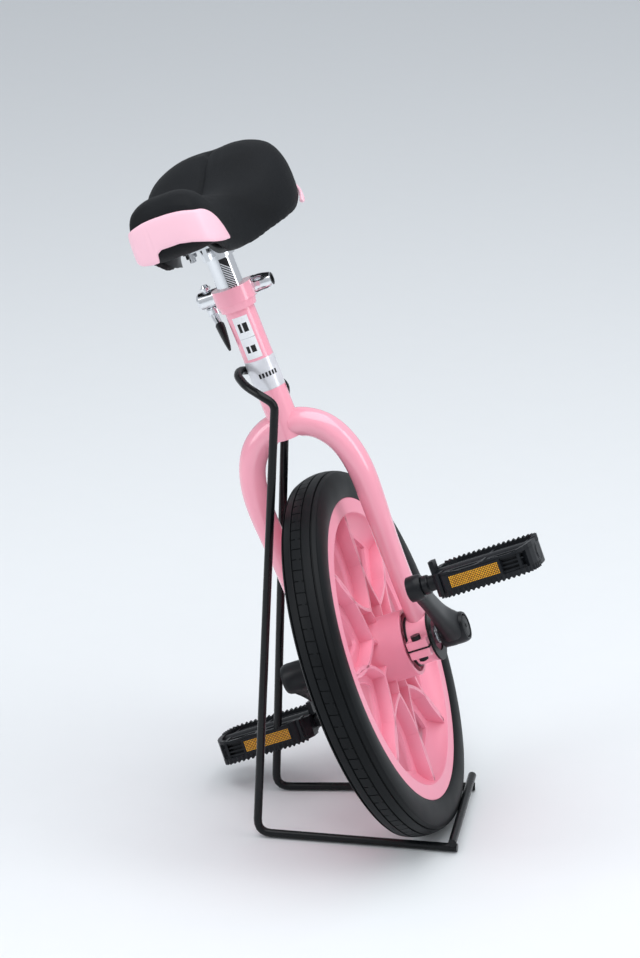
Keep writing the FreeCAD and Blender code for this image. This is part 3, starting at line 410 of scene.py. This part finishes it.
def wheel_moulding():
    w = Shape()
    # (across, radius): the rim's channel section, then the hub drum with its wells at both ends
    half_rim = [(2.0, 119.6), (3.6, 123.0), (5.6, 126.0), (8.2, 128.8), (11.0, 130.9), (13.8, 132.3),
                (16.9, 133.3), (17.5, 134.0), (17.5, 147.6), (17.0, 148.2), (14.5, 148.2),
                (14.0, 147.6), (14.0, 139.0)]
    rim = half_rim + [(-x, r) for x, r in reversed(half_rim)]
    w.turned(rim, segs=180, closed=True)
    hub = [(-38.0, 29.0), (-38.0, 31.4), (-37.4, 32.0), (-5.0, 32.0), (-3.0, 33.0), (-2.0, 35.0),
           (2.0, 35.0), (3.0, 33.0), (5.0, 32.0), (37.4, 32.0), (38.0, 31.4), (38.0, 29.0),
           (37.4, 28.5), (24.0, 27.5), (24.0, 13.5), (37.4, 13.0), (38.0, 12.5), (38.0, 8.6),
           (-38.0, 8.6), (-38.0, 12.5), (-37.4, 13.0), (-24.0, 13.5), (-24.0, 27.5), (-37.4, 28.5)]
    w.turned(hub, segs=96, closed=True)

    step = math.tau / PETALS
    windows = [spun(window_line(), PHASE + k * step) for k in range(PETALS)]
    disc = arc(0, 0, 121.5, 0, 360, 144)[:-1]
    hub_hole = arc(0, 0, 33.0, 0, 360, 72)[:-1]
    web, deep, well_rib = 2.0, 15.0, (23.0, 35.5)  # half thickness, half depth, from and to
    w.plate(disc, windows + [hub_hole], -web, web, "YZ", 0.4)
    for k in range(PETALS):
        w.plate(spun(petal_line(PETAL_WALL), PHASE + k * step), [], -deep, deep, "YZ", 0.5)
    spoke = [(12.5, -1.1), (28.6, -1.1), (28.6, 1.1), (12.5, 1.1)]
    for side in (1, -1):
        lo, hi = sorted(side * x for x in well_rib)
        for k in range(PETALS):
            w.plate(spun(spoke, k * step), [], lo, hi, "YZ", 0.3)
    w.done("wheel_moulded", WHEEL, "wheel", "wheel_plastic", ("wheel_moulding",), smooth=30)


wheel_moulding()


# ---------------------------------------------------------------- cranks
def crank(tag):
    side = SIDES[tag]
    end = WHEEL.inverted() @ Vector(JOINT[f"{tag}_pedal_spin"]["pos_m"])
    along = Vector((0, end.y, end.z))
    reach = along.length
    u = along.normalized()
    v = Vector((side, 0, 0)).cross(u)
    arm = Shape()
    # (out from the wheel's middle, radius) of the round ends at the axle and at the pedal
    boss = [(67.9, 8.4), (67.9, 13.6), (68.8, 14.7), (78.0, 15.1), (88.0, 14.9), (91.4, 14.2),
            (92.9, 13.2), (93.1, 12.2), (92.6, 11.4), (90.0, 10.6), (90.0, 6.2)]
    arm.turned(mirrored(boss, side), segs=56)
    eye = [(76.0, 6.4), (76.0, 11.0), (76.8, 11.9), (83.0, 12.2), (88.6, 11.8), (90.0, 10.6), (90.2, 6.4)]
    arm.turned(mirrored(eye, side), centre=(0, end.y, end.z), segs=48)
    # (distance from the axle, half width, inner face, outer face)
    stations = [(0.0, 14.4, 69.2, 91.8), (10.0, 13.9, 69.4, 91.2), (22.0, 12.4, 70.6, 89.2),
                (40.0, 10.9, 73.2, 87.6), (66.0, 10.0, 75.6, 88.2), (88.0, 10.4, 76.8, 89.4),
                (reach, 11.2, 77.2, 89.6)]
    squareness = 3.6
    rings = []
    for dist, half, x0, x1 in blended(stations, 5):
        mid, thick = (x0 + x1) / 2, (x1 - x0) / 2
        rings.append([u * dist + v * p + Vector((side * (mid + q), 0, 0))
                      for p, q in oval(28, half, thick, squareness)])
    arm.rings(rings)
    arm.done(f"crank_arm_{tag}", WHEEL, "wheel", "black_painted_metal", (f"crank_{tag}",), smooth=40)
    cap = Shape()
    disc = [(90.2, 1.0), (90.2, 10.1), (92.0, 10.1), (92.5, 9.6), (92.7, 8.8), (92.6, 3.0), (92.9, 2.0),
            (93.4, 1.5), (93.4, 0.3)]
    cap.turned(mirrored(disc, side), segs=48)
    cap.done(f"crank_cap_{tag}", WHEEL, "wheel", "black_plastic", (f"dust_cap_{tag}",), smooth=30)


for tag in SIDES:
    crank(tag)


# ---------------------------------------------------------------- pedals
def spaced(outline, step):
    """Points at an even spacing round a closed line, with the length run so far."""
    points, run, total = [], [], 0.0
    for a, b in zip(outline, outline[1:] + outline[:1]):
        a, b = Vector(a), Vector(b)
        steps = max(1, round((b - a).length / step))
        for k in range(steps):
            points.append(a.lerp(b, k / steps))
            run.append(total + (b - a).length * k / steps)
        total += (b - a).length
    return points, run


def cage_wall(shape, outline, thick, low, high, teeth, sunk, pitch=4.9, stand=1.5):
    """A wall round the outline. low and high give its edges at a point, sunk how far it lies back there;
    teeth gives +1 where rounded teeth rise above it, -1 where they hang below."""
    points, run = spaced(outline, 0.8)
    middle = Vector((sum(p.x for p in points) / len(points), 0))
    rings = []
    for i, p in enumerate(points):
        along = (points[(i + 1) % len(points)] - points[i - 1]).normalized()
        out = Vector((along.y, -along.x))
        if out.dot(p - middle) < 0:
            out = -out
        side = teeth(p)
        wave = max(0.0, min(1.0, 0.5 + 0.9 * math.cos(2 * math.pi * run[i] / pitch)))
        tooth = stand * wave * abs(side)
        back = sunk(p)
        outer = p + out * (0.6 * tooth - 0.6 * abs(side) - back)
        inner = p - out * (thick + back)
        z0 = low(p) - (tooth if side < 0 else 0.0)
        z1 = high(p) + (tooth if side > 0 else 0.0)
        rings.append([(outer.x, outer.y, z0), (outer.x, outer.y, z1),
                      (inner.x, inner.y, z1 - 0.4), (inner.x, inner.y, z0 + 0.4)])
    shape.rings(rings, closed=True)


# inner end, outer end and half depth of a pedal, across and fore and aft of its spindle
PEDAL_IN, PEDAL_OUT, PEDAL_HALF = 106.0, 203.5, 33.6
PEDAL_LENGTH = PEDAL_OUT - PEDAL_IN


def pedal_outline():
    near = [(PEDAL_IN, 18.0), (PEDAL_IN + 5, 26.0), (PEDAL_IN + 12, 31.5), (PEDAL_IN + 18, PEDAL_HALF)]
    far = [(PEDAL_OUT - 18, PEDAL_HALF), (PEDAL_OUT - 11.5, 32.4), (PEDAL_OUT - 6.2, 28.6),
           (PEDAL_OUT - 2.6, 22.0), (PEDAL_OUT - 0.8, 13.0), (PEDAL_OUT - 0.4, 4.0)]
    return [(x, -y) for x, y in near + far] + far[::-1] + near[::-1]


def pedal_rims(body, side):
    """One rim above and one below, alike when the pedal is turned over: teeth rise at the back and
    hang at the front, and the other edge of each rim is low and wavy."""
    for up in (1, -1):
        def has_teeth(p, up=up):
            return up if p.y * up > 3.0 and p.x * side > PEDAL_IN + 4 else 0

        def edge(p, up=up):
            if p.y * up > 3.0:
                return up * 11.8
            x = abs(p.x) - PEDAL_IN
            wave = 1.3 * math.cos(2 * math.pi * (x - 14.0) / 46.0)
            end_rise = 2.8 * max(0.0, min(1.0, (x - PEDAL_LENGTH + 30.0) / 20.0))
            return up * (9.0 + wave + end_rise)

        def shelf(p, up=up):
            return up * 7.4

        low, high = (shelf, edge) if up > 0 else (edge, shelf)
        cage_wall(body, mirrored(pedal_outline(), side), 4.2, low, high, has_teeth, lambda p: 0.0)


def pedal_walls(body, side):
    """The wall between the rims, with a ribbed pocket near its outer end and a lip round each lens."""

    def pocket(p):
        x = abs(p.x) - PEDAL_IN
        return 6.5 if PEDAL_LENGTH - 29 < x < PEDAL_LENGTH - 5 and abs(p.y) > 24 else 0.0

    cage_wall(body, mirrored(pedal_outline(), side), 3.4, lambda p: -8.0, lambda p: 8.0, lambda p: 0, pocket)
    x0, x1 = PEDAL_IN, PEDAL_OUT
    lip = [(x0 + 16.8, -7.0), (x0 + 67.6, -7.0), (x0 + 67.6, 7.0), (x0 + 16.8, 7.0)]
    hole = [(x0 + 18.1, -5.6), (x0 + 66.3, -5.6), (x0 + 66.3, 5.6), (x0 + 18.1, 5.6)]
    for sy in (1, -1):
        for k in range(4):
            z = -5.7 + 3.8 * k
            lo, hi = sorted((side * (x1 - 29.0), side * (x1 - 8.5 - 1.5 * (k % 2))))
            near, far = sorted((sy * 26.0, sy * (30.6 - 0.4 * k)))
            body.block((lo, near, z - 0.75), (hi, far, z + 0.75))
        inner, outer = sorted((sy * 31.4, sy * 34.0))
        body.plate(mirrored(lip, side), [mirrored(hole, side)], inner, outer, "XZ", 0.25)


def pedal_decks(body, side):
    """Two decks with curved openings, the barrel between them, cross ribs and a stop at the inner end."""
    x0, x1 = PEDAL_IN, PEDAL_OUT
    gaps = []
    for sy in (1, -1):
        for (xa, ya, ra), (xb, yb, rb) in (((22, 19, 5.5), (40, 19, 5.5)), ((62, 18, 6.0), (79, 16, 4.5))):
            gaps.append(arc(x0 + xa, sy * ya, ra, 90 * sy, 270 * sy, 6)
                        + arc(x0 + xb, sy * yb, rb, -90 * sy, 90 * sy, 6))
    deck = [(x + (2.0 if x < x0 + 50 else -2.0), y * 0.92) for x, y in pedal_outline()]
    for z_lo, z_hi in ((5.6, 8.4), (-8.4, -5.6)):
        body.plate(mirrored(deck, side), [mirrored(g, side) for g in gaps], z_lo, z_hi, "XY", 0.5)
    barrel = [(x0 + 1, 7.0), (x0 + 1, 10.4), (x0 + 3, 11.0), (x1 - 4, 11.0), (x1 - 3.4, 10.4),
              (x1 - 3.4, 7.0)]
    body.turned(mirrored(barrel, side), segs=32)
    for sy in (1, -1):
        near, far = sorted((sy * 9, sy * 31))
        for xr in (x0 + 8, x0 + 51, x1 - 12):
            lo, hi = sorted((side * (xr - 1.4), side * (xr + 1.4)))
            body.block((lo, near, -9.5), (hi, far, 9.5))
    lo, hi = sorted((side * (x0 - 3.0), side * (x0 + 1.8)))
    body.block((lo, -7.0, 7.0), (hi, 5.0, 20.0))


def reflector(tag, sy, which):
    """An amber lens of small raised cells over a darker amber block that shows between them as painted shade in
    the grooves.
    """
    side = SIDES[tag]
    across, tall, front, back = 47.6, 10.8, sy * 33.5, sy * 32.1
    columns, rows, gap, slope = 30, 7, 0.11, 0.25
    start = PEDAL_IN + 18.4 if side > 0 else -(PEDAL_IN + 66.0)
    dx, dz = across / columns, tall / rows
    crest = front + sy * 0.35
    lens = Shape()
    for i in range(columns):
        xa, xb = start + (i + gap) * dx, start + (i + 1 - gap) * dx
        for k in range(rows):
            za, zb = -5.4 + (k + gap) * dz, -5.4 + (k + 1 - gap) * dz
            foot = [(xa, front, za), (xb, front, za), (xb, front, zb), (xa, front, zb)]
            top = [(xa + slope, crest, za + slope), (xb - slope, crest, za + slope),
                   (xb - slope, crest, zb - slope), (xa + slope, crest, zb - slope)]
            lens.rings([foot, top])
    near, far = sorted((back, front + sy * 0.02))
    # the darker block is painted shade: the same amber plastic, darkened where the grooves between the cells lie
    # in shade
    lens.block((start, near, -5.4), (start + across, far, 5.4), paint=1)
    lens.done(f"reflector_lens_{tag}_{which}", PEDALS[tag], f"pedal_{tag}", "amber_reflector",
              (f"reflector_{tag}_{which}",), mats=[AMBER, AMBER_GROOVE_SHADE], smooth=5)


def pedal(tag):
    side, where = SIDES[tag], PEDALS[tag]
    body = Shape()
    pedal_rims(body, side)
    pedal_walls(body, side)
    pedal_decks(body, side)
    body.done(f"pedal_cage_{tag}", where, f"pedal_{tag}", "pedal_plastic", (f"pedal_{tag}",),
              bevel=0.35, smooth=40)

    x1 = PEDAL_OUT
    cap = Shape()
    cap.turned(mirrored([(x1 - 3.2, 1.0), (x1 - 3.2, 9.0), (x1 - 0.8, 9.0), (x1 - 0.2, 8.2),
                         (x1 - 0.5, 6.6), (x1, 6.0), (x1, 1.0)], side), segs=40)
    cap.done(f"pedal_cap_{tag}", where, f"pedal_{tag}", "pedal_plastic", (f"pedal_end_cap_{tag}",), smooth=30)

    reflector(tag, 1, "back")
    reflector(tag, -1, "front")

    pin = Shape()
    pin.turned(mirrored([(76.2, 5.0), (76.2, 6.2), (89.8, 6.2), (90.4, 8.6), (92.0, 9.0), (95.6, 9.0),
                         (96.6, 8.4), (97.0, 7.4), (104.6, 7.2), (105.0, 6.0), (200.0, 6.0),
                         (200.0, 2.0)], side), segs=36)
    pin.done(f"pedal_axle_{tag}", where, "wheel", "bright_steel", (f"pedal_spindle_{tag}",), mats=[CRANK],
             smooth=30)


for tag in SIDES:
    pedal(tag)


# ---------------------------------------------------------------- seat post, label and band
def post():
    tube = Shape()
    tube.turned([(262.0, 10.7), (262.0, 12.2), (262.5, 12.7), (420.4, 12.7), (421.0, 12.2), (421.0, 10.7)],
                axis="Z", segs=64, closed=True)
    tube.done("seat_post_tube", FORK, "seat", "chromed_steel", ("seat_post",), smooth=30)

    # a strip of slanted ridges down the front, over a dark backing that is painted shade between the ridges
    start, wide, radius, foot, head = -81.0, 38.0, 12.72, 300.0, 404.0
    knurl = Shape()
    groove_shade_backing = []
    for k in range(9):
        a = math.radians(start + wide * k / 8)
        groove_shade_backing.append([(r * math.cos(a), r * math.sin(a), z) for r, z in
                        ((radius - 0.1, foot), (radius, foot), (radius, head), (radius - 0.1, head))])
    # the black backing under the ridges is painted shade in the grooves of the knurl
    knurl.rings(groove_shade_backing, paint=1)
    pitch, rise, margin = 2.6, -7.0, 1.5
    # (radius, height) round one ridge
    ridge_line = ((radius - 0.05, 0.0), (radius + 0.24, 0.3), (radius + 0.24, 1.15), (radius - 0.05, 1.45))
    for row in range(4, int((head - 1.0 - foot) / pitch)):
        ridge = []
        for j in range(7):
            a = math.radians(start + margin + (wide - 2 * margin) * j / 6)
            z = foot + 0.4 + row * pitch + rise * j / 6
            ridge.append([(r * math.cos(a), r * math.sin(a), z + h) for r, h in ridge_line])
        knurl.rings(ridge)
    knurl.done("seat_post_knurl", FORK, "seat", "chromed_steel", mats=[RIDGE, INK_AND_SHADE], smooth=20)


def patch(shape, a0, a1, z0, z1, r0, r1, paint=0):
    """A curved film round the seat tube, from angle a0 to a1 and from z0 to z1."""
    rings = []
    for k in range(25):
        a = math.radians(a0 + (a1 - a0) * k / 24)
        rings.append([(r * math.cos(a), r * math.sin(a), z)
                      for r, z in ((r0, z0), (r1, z0), (r1, z1), (r0, z1))])
    shape.rings(rings, paint=paint)


def stickers():
    """A label and a band with plain bars in the place of any print."""
    wall = 14.42
    left, right = -117.0, -56.0
    label = Shape()
    patch(label, left, right, 306.5, 348.0, wall - 0.1, wall + 0.1)
    patch(label, left, right, 326.6, 327.0, wall, wall + 0.13, 1)
    for z, tall in ((333.0, 8.6), (312.6, 6.6)):
        for a0, a1 in ((-104.0, -92.0), (-86.0, -68.0)):
            patch(label, a0, a1, z, z + tall, wall, wall + 0.13, 2)
    label.done("plain_label", FORK, "frame", "white_sticker", ("front_label",), mats=[LABEL, STEEL, INK_AND_SHADE],
               smooth=30)
    band = Shape()
    band.turned([(274.2, 14.32), (274.0, 14.42), (274.0, 14.5), (304.0, 14.5), (304.0, 14.42),
                 (303.8, 14.32)], axis="Z", segs=72, closed=True)
    for k in range(6):
        a0 = -98.0 + 13.0 * k
        patch(band, a0, a0 + 8.0, 286.5, 291.0, wall, wall + 0.14, 1)
    band.done("plain_band", FORK, "frame", "clear_band", ("tube_band",), mats=[BAND, INK_AND_SHADE], smooth=30)


def clamp_nut():
    """The round-nosed nut of the quick release, with a black ring in its end."""
    centre = (0, 25.0, 366.0)
    nut = Shape()
    nut.turned([(13.5, 2.92), (13.5, 8.2), (14.2, 8.9), (16.4, 8.9), (17.2, 8.5), (21.0, 8.7),
                (26.0, 8.0), (30.6, 6.9), (32.0, 6.4), (32.3, 5.9), (30.2, 5.8), (30.0, 2.92)],
               centre=centre, segs=40, closed=True)
    nut.turned([(30.0, 4.3), (31.0, 5.75), (32.45, 5.7), (32.5, 3.6), (31.2, 3.3), (30.0, 3.2)],
               centre=centre, segs=40, closed=True, paint=1)
    nut.done("quick_release_nut", FORK, "frame", "chromed_steel", ("qr_nut",), mats=[CHROME, BLACK],
             smooth=30)


post()
stickers()
clamp_nut()


# ---------------------------------------------------------------- saddle
# (y, half width, underside, top, depth of the middle channel), rounded off past both ends
SADDLE = [(-122.4, 13.0, 452.0, 468.0, 0.0), (-121.0, 23.5, 445.5, 474.0, 0.0),
          (-116.5, 33.0, 439.0, 484.0, 0.0), (-106.0, 37.0, 433.0, 489.5, 0.0),
          (-88.0, 38.0, 425.5, 489.0, 0.0), (-65.0, 37.2, 414.0, 480.5, 0.0),
          (-40.0, 40.2, 409.0, 470.0, 0.8), (-15.0, 47.0, 405.5, 463.0, 1.5),
          (10.0, 58.0, 406.5, 463.5, 2.0), (35.0, 69.2, 407.5, 471.0, 2.4),
          (60.0, 74.4, 409.0, 481.5, 2.4), (84.0, 71.6, 414.5, 488.0, 1.8),
          (104.0, 60.7, 422.0, 489.5, 1.0), (115.5, 44.4, 430.5, 487.0, 0.4),
          (121.0, 24.5, 442.0, 479.5, 0.0), (122.4, 14.0, 449.0, 472.0, 0.0)]
# the rounded box of one cross section: (share of the half width, share of the height)
ROUND = [(0.52, 0.0), (0.86, 0.035), (0.975, 0.14), (1.0, 0.36), (0.975, 0.62), (0.86, 0.84), (0.62, 0.955),
         (0.32, 1.0)]
PAN_WALL, PAN_TOP = 6.0, 31.0  # the recess starts this far in from the sides, and this far below the top
PAD_SHRINK, PAD_SWELL = 0.7, 0.0014  # start smaller by so many mm; swell by at most so many metres


def saddle_at(y):
    """Half width, underside, top and channel depth of the saddle at y."""
    rows = blended(SADDLE, 6)
    for a, b in zip(rows, rows[1:]):
        if y <= b[0]:
            t = max(0.0, (y - a[0]) / max(1e-6, b[0] - a[0]))
            return [p + (q - p) * t for p, q in zip(a[1:], b[1:])]
    return rows[-1][1:]


def ramp(lo, hi, value):
    """From 0 at lo to 1 at hi, eased at both ends."""
    t = max(0.0, min(1.0, (value - lo) / (hi - lo)))
    return t * t * (3 - 2 * t)


def saddle_form(shrink):
    form = Shape()
    rings = []
    for y, w, low, high, dip in blended(SADDLE, 5):
        w, low, high = w - shrink, low + shrink, high - shrink
        right = [(w * a, low + (high - low) * b) for a, b in ROUND]
        loop = [(0, low)] + right + [(0, high - dip)] + [(-x, z) for x, z in reversed(right)]
        ring = blended(loop[-2:] + loop + loop[:2], 4)[8:-5]
        rings.append([(x, y, z) for x, z in ring])
    return form.rings(rings)


def hollow_and_channel(pad):
    """After the stuffing: the sewn channel along the top, and the recess that the pan fills from below."""
    back_to_mm = FORK.inverted()
    turn = back_to_mm.to_3x3().normalized()
    mesh = pad.data
    normals = [turn @ v.normal for v in mesh.vertices]
    for v, n in zip(mesh.vertices, normals):
        p = back_to_mm @ v.co
        w, low, high, dip = saddle_at(p.y)
        if n.z > 0.25:
            run = ramp(-45.0, -12.0, p.y) * (1 - ramp(88.0, 104.0, p.y))
            crease = 3.4 * math.exp(-((p.x + 1.0) / 2.8) ** 2)
            welt = 0.5 * math.exp(-((p.x - 8.5) / 3.0) ** 2)
            p.z -= run * (crease - welt)
        elif p.z < (low + high) / 2:
            from_side = ramp(0.0, 11.0, w - PAN_WALL - abs(p.x))
            from_ends = ramp(0.0, 12.0, 116.0 - p.y) * ramp(-106.0, -84.0, p.y)
            p.z += from_side * from_ends * max(0.0, high - PAN_TOP - dip - p.z)
        v.co = FORK @ p


def stuffed(pad):
    """Cloth under pressure swells the pad; no point may move further than PAD_SWELL."""
    mesh = pad.data
    rest = [v.co.copy() for v in mesh.vertices]
    cloth = pad.modifiers.new("stuffing", "CLOTH")
    cloth.settings.use_pressure = True
    cloth.settings.uniform_pressure_force = 4.0
    cloth.settings.effector_weights.gravity = 0.0
    cloth.settings.quality = 6
    cloth.settings.mass = 0.3
    for step in range(1, 21):
        bpy.context.scene.frame_set(step)
    swollen = pad.evaluated_get(bpy.context.evaluated_depsgraph_get())
    moved = [v.co.copy() for v in swollen.data.vertices]
    pad.modifiers.remove(cloth)
    bpy.context.scene.frame_set(1)
    for v, a, b in zip(mesh.vertices, rest, moved):
        shift = b - a
        v.co = a + shift * min(1.0, PAD_SWELL / max(shift.length, 1e-9))


def cushion():
    form = saddle_form(PAD_SHRINK)
    pad = form.done("saddle_pad", FORK, "seat", "saddle_cover", ("saddle_cushion",), smooth=180)
    bpy.context.view_layer.objects.active = pad
    remesh = pad.modifiers.new("even_mesh", "REMESH")
    remesh.mode = "VOXEL"
    remesh.voxel_size = 0.0035
    bpy.ops.object.modifier_apply(modifier="even_mesh")
    stuffed(pad)
    skin = pad.modifiers.new("skin", "SUBSURF")
    skin.levels = skin.render_levels = 1
    bpy.ops.object.modifier_apply(modifier="skin")
    hollow_and_channel(pad)
    pad.data.materials.clear()
    pad.data.materials.append(VINYL)
    pad.data.shade_smooth()


# middle line of each bumper seen from above, with its lower and upper edges: (x, y, lower, upper)
NOSE_RIGHT = [(38.7, -74.5, 430.5, 435.0), (39.0, -76.0, 429.0, 439.2), (39.4, -81.0, 429.8, 446.4),
              (39.6, -90.0, 431.0, 455.2), (39.0, -101.0, 433.2, 462.4), (36.6, -111.0, 436.0, 467.4),
              (31.0, -118.0, 439.5, 469.8), (21.0, -121.6, 443.6, 472.8), (10.0, -122.7, 446.0, 474.2),
              (0.0, -123.0, 446.0, 474.5)]
NOSE_LEFT = [(-8.0, -122.8, 446.0, 474.4), (-13.2, -122.5, 443.0, 474.0), (-15.0, -122.3, 435.4, 473.8),
             (-21.0, -121.6, 435.2, 472.8), (-31.0, -118.0, 436.6, 469.8), (-36.6, -111.0, 439.0, 466.2),
             (-39.0, -101.0, 438.0, 459.5), (-39.6, -90.0, 434.0, 452.0), (-39.4, -81.0, 431.0, 443.5),
             (-39.0, -76.0, 429.0, 438.6), (-38.7, -74.5, 430.5, 435.0)]
TAIL_RIGHT = [(73.6, 66.0, 419.0, 420.4), (73.5, 70.0, 416.8, 422.0), (72.6, 77.0, 417.2, 424.4),
              (70.2, 87.0, 418.4, 427.8), (65.4, 97.0, 420.6, 431.6), (58.0, 107.0, 423.6, 436.0),
              (46.0, 116.4, 427.2, 440.2), (26.0, 122.2, 429.8, 443.0), (0.0, 123.4, 430.4, 444.2)]


def bumper(name, stands_for, keys, lean):
    """A moulded band of rounded section swept round the saddle's end, its top leaning in with the cover."""
    steps = 6
    rows = blended([(x, y, top) for x, y, _, top in keys], steps)
    lows = [a[2] + (b[2] - a[2]) * s / steps for a, b in zip(keys, keys[1:]) for s in range(steps)]
    lows.append(keys[-1][2])
    # (out from the middle line, share of the height)
    profile = [(-1.3, 0.05), (-0.8, 0.0), (0.9, 0.0), (1.4, 0.03), (1.6, 0.1), (1.65, 0.3), (1.6, 0.6),
               (1.5, 0.86), (1.2, 0.96), (0.7, 1.0), (-0.8, 1.0), (-1.2, 0.97), (-1.35, 0.9), (-1.4, 0.5)]
    rings = []
    for i, ((x, y, top), low) in enumerate(zip(rows, lows)):
        a, b = rows[max(i - 1, 0)], rows[min(i + 1, len(rows) - 1)]
        along = Vector((b[0] - a[0], b[1] - a[1])).normalized()
        out = Vector((along.y, -along.x))
        if out.x * x + out.y * y < 0:
            out = -out
        rings.append([(x + out.x * (o - lean * f * f), y + out.y * (o - lean * f * f), low + (top - low) * f)
                      for o, f in profile])
    Shape().rings(rings).done(name, FORK, "seat", "bumper_plastic", (stands_for,), smooth=50)


cushion()
bumper("nose_bumper", "front_bumper", NOSE_RIGHT + NOSE_LEFT, 1.0)
TAIL_LEFT = [(-x, y, lo, hi) for x, y, lo, hi in reversed(TAIL_RIGHT[:-1])]
bumper("tail_bumper", "rear_bumper", TAIL_RIGHT + TAIL_LEFT, 0.2)

# ---------------------------------------------------------------- floor, stand, light and camera
STAGE = material("studio_paper", (0.765, 0.785, 0.80), 0.7, mottle=0.003, bump=0.0, rough_vary=0.02)
WIRE = material("black_coated_wire", (0.005, 0.006, 0.007), 0.26, mottle=0.15, bump=0.1, specular=0.26)


def studio():
    """A flat floor that runs past the top of the picture, open on every side."""
    half = 14.0
    corners = [(-half, -half, 0), (half, -half, 0), (half, half, 0), (-half, half, 0)]
    mesh = bpy.data.meshes.new("studio_floor")
    mesh.from_pydata(corners, [], [(0, 1, 2, 3)])
    mesh.materials.append(STAGE)
    floor = bpy.data.objects.new("studio_floor", mesh)
    bpy.context.scene.collection.objects.link(floor)


def wire(name, points, radius=4.0):
    """A bent rod of the display stand, its corners rounded, set down beside the tyre."""
    data = bpy.data.curves.new(name, "CURVE")
    data.dimensions = "3D"
    data.bevel_depth = radius / 1000
    data.bevel_resolution = 5
    data.use_fill_caps = True
    turn = Matrix.Rotation(0.0336, 4, "Z")
    shift = Vector((AXLE.x, -0.00125, 0.0005))
    largest_bend = 14.0
    corners = [Vector(p) for p in points]
    rounded = [corners[0]]
    for a, p, b in zip(corners, corners[1:], corners[2:]):
        r = min(largest_bend, (a - p).length * 0.45, (b - p).length * 0.45)
        start, end = p + (a - p).normalized() * r, p + (b - p).normalized() * r
        rounded += [start.lerp(p, t).lerp(p.lerp(end, t), t) for t in (0, 0.2, 0.4, 0.6, 0.8, 1.0)]
    rounded.append(corners[-1])
    line = data.splines.new("POLY")
    line.points.add(len(rounded) - 1)
    for point, p in zip(line.points, rounded):
        point.co = (*(turn @ (p * 0.001) + shift), 1)
    data.materials.append(WIRE)
    made = bpy.data.objects.new(name, data)
    bpy.context.scene.collection.objects.link(made)


studio()
bpy.context.scene.view_settings.view_transform = "Standard"
# the stand's rods, in millimetres from the floor under the axle: a loop that comes up from both sides
# to a hook round the seat tube, and a bar in front of the tyre
hook = [(-82, -30.5, 424), (-94, -29, 431), (-110, -20, 437), (-121, -2, 441), (-122, 12, 442),
        (-112, 28, 438), (-95, 31, 431), (-82, 30.5, 424)]
wire("stand_loop", [(83.7, -70, 4), (-109.5, -53, 4)] + hook + [(-109.5, 53, 4), (83.7, 70, 4)])
wire("stand_rest", [(80.0, -78, 12), (80.0, 78, 12)])


def lamp(name, at, look, size, power, colour=(1, 1, 1)):
    data = bpy.data.lights.new(name, "AREA")
    data.shape = "RECTANGLE"
    data.size, data.size_y = size
    data.energy = power
    data.color = colour
    made = bpy.data.objects.new(name, data)
    made.location = at
    made.rotation_euler = (Vector(look) - Vector(at)).to_track_quat("-Z", "Y").to_euler()
    bpy.context.scene.collection.objects.link(made)


lamp("overhead", (0.3, -0.4, 3.0), (0, 0, 0.2), (3.4, 2.8), 70, (0.97, 0.985, 1.0))
lamp("from_left", (-2.6, -1.6, 1.6), (0, 0, 0.3), (1.4, 2.0), 23, (0.98, 0.99, 1.0))
lamp("from_right", (2.6, -0.6, 1.8), (0, 0, 0.3), (1.2, 1.8), 20)

world = bpy.data.worlds.new("studio_air")
world.use_nodes = True
world.node_tree.nodes["Background"].inputs["Color"].default_value = (0.74, 0.775, 0.82, 1)
world.node_tree.nodes["Background"].inputs["Strength"].default_value = 0.73
bpy.context.scene.world = world

# the camera stands where the photograph was taken from
azimuth, elevation, roll = math.radians(11.62), math.radians(19.335), -0.03196
stand_point, lens, sensor = (0.55437, -3.15996, 1.47333), 138.2, 36.0
back = Vector((math.sin(azimuth) * math.cos(elevation), -math.cos(azimuth) * math.cos(elevation),
               math.sin(elevation)))
flat = Vector((math.cos(azimuth), math.sin(azimuth), 0))
above = back.cross(flat)
right = math.cos(roll) * flat + math.sin(roll) * above
upward = math.cos(roll) * above - math.sin(roll) * flat
camera = bpy.data.objects.new("camera", bpy.data.cameras.new("camera"))
facing = Matrix((right, upward, back)).transposed().to_4x4()
camera.matrix_world = Matrix.Translation(stand_point) @ facing
camera.data.lens = lens
camera.data.sensor_width = sensor
bpy.context.scene.collection.objects.link(camera)
bpy.context.scene.camera = camera
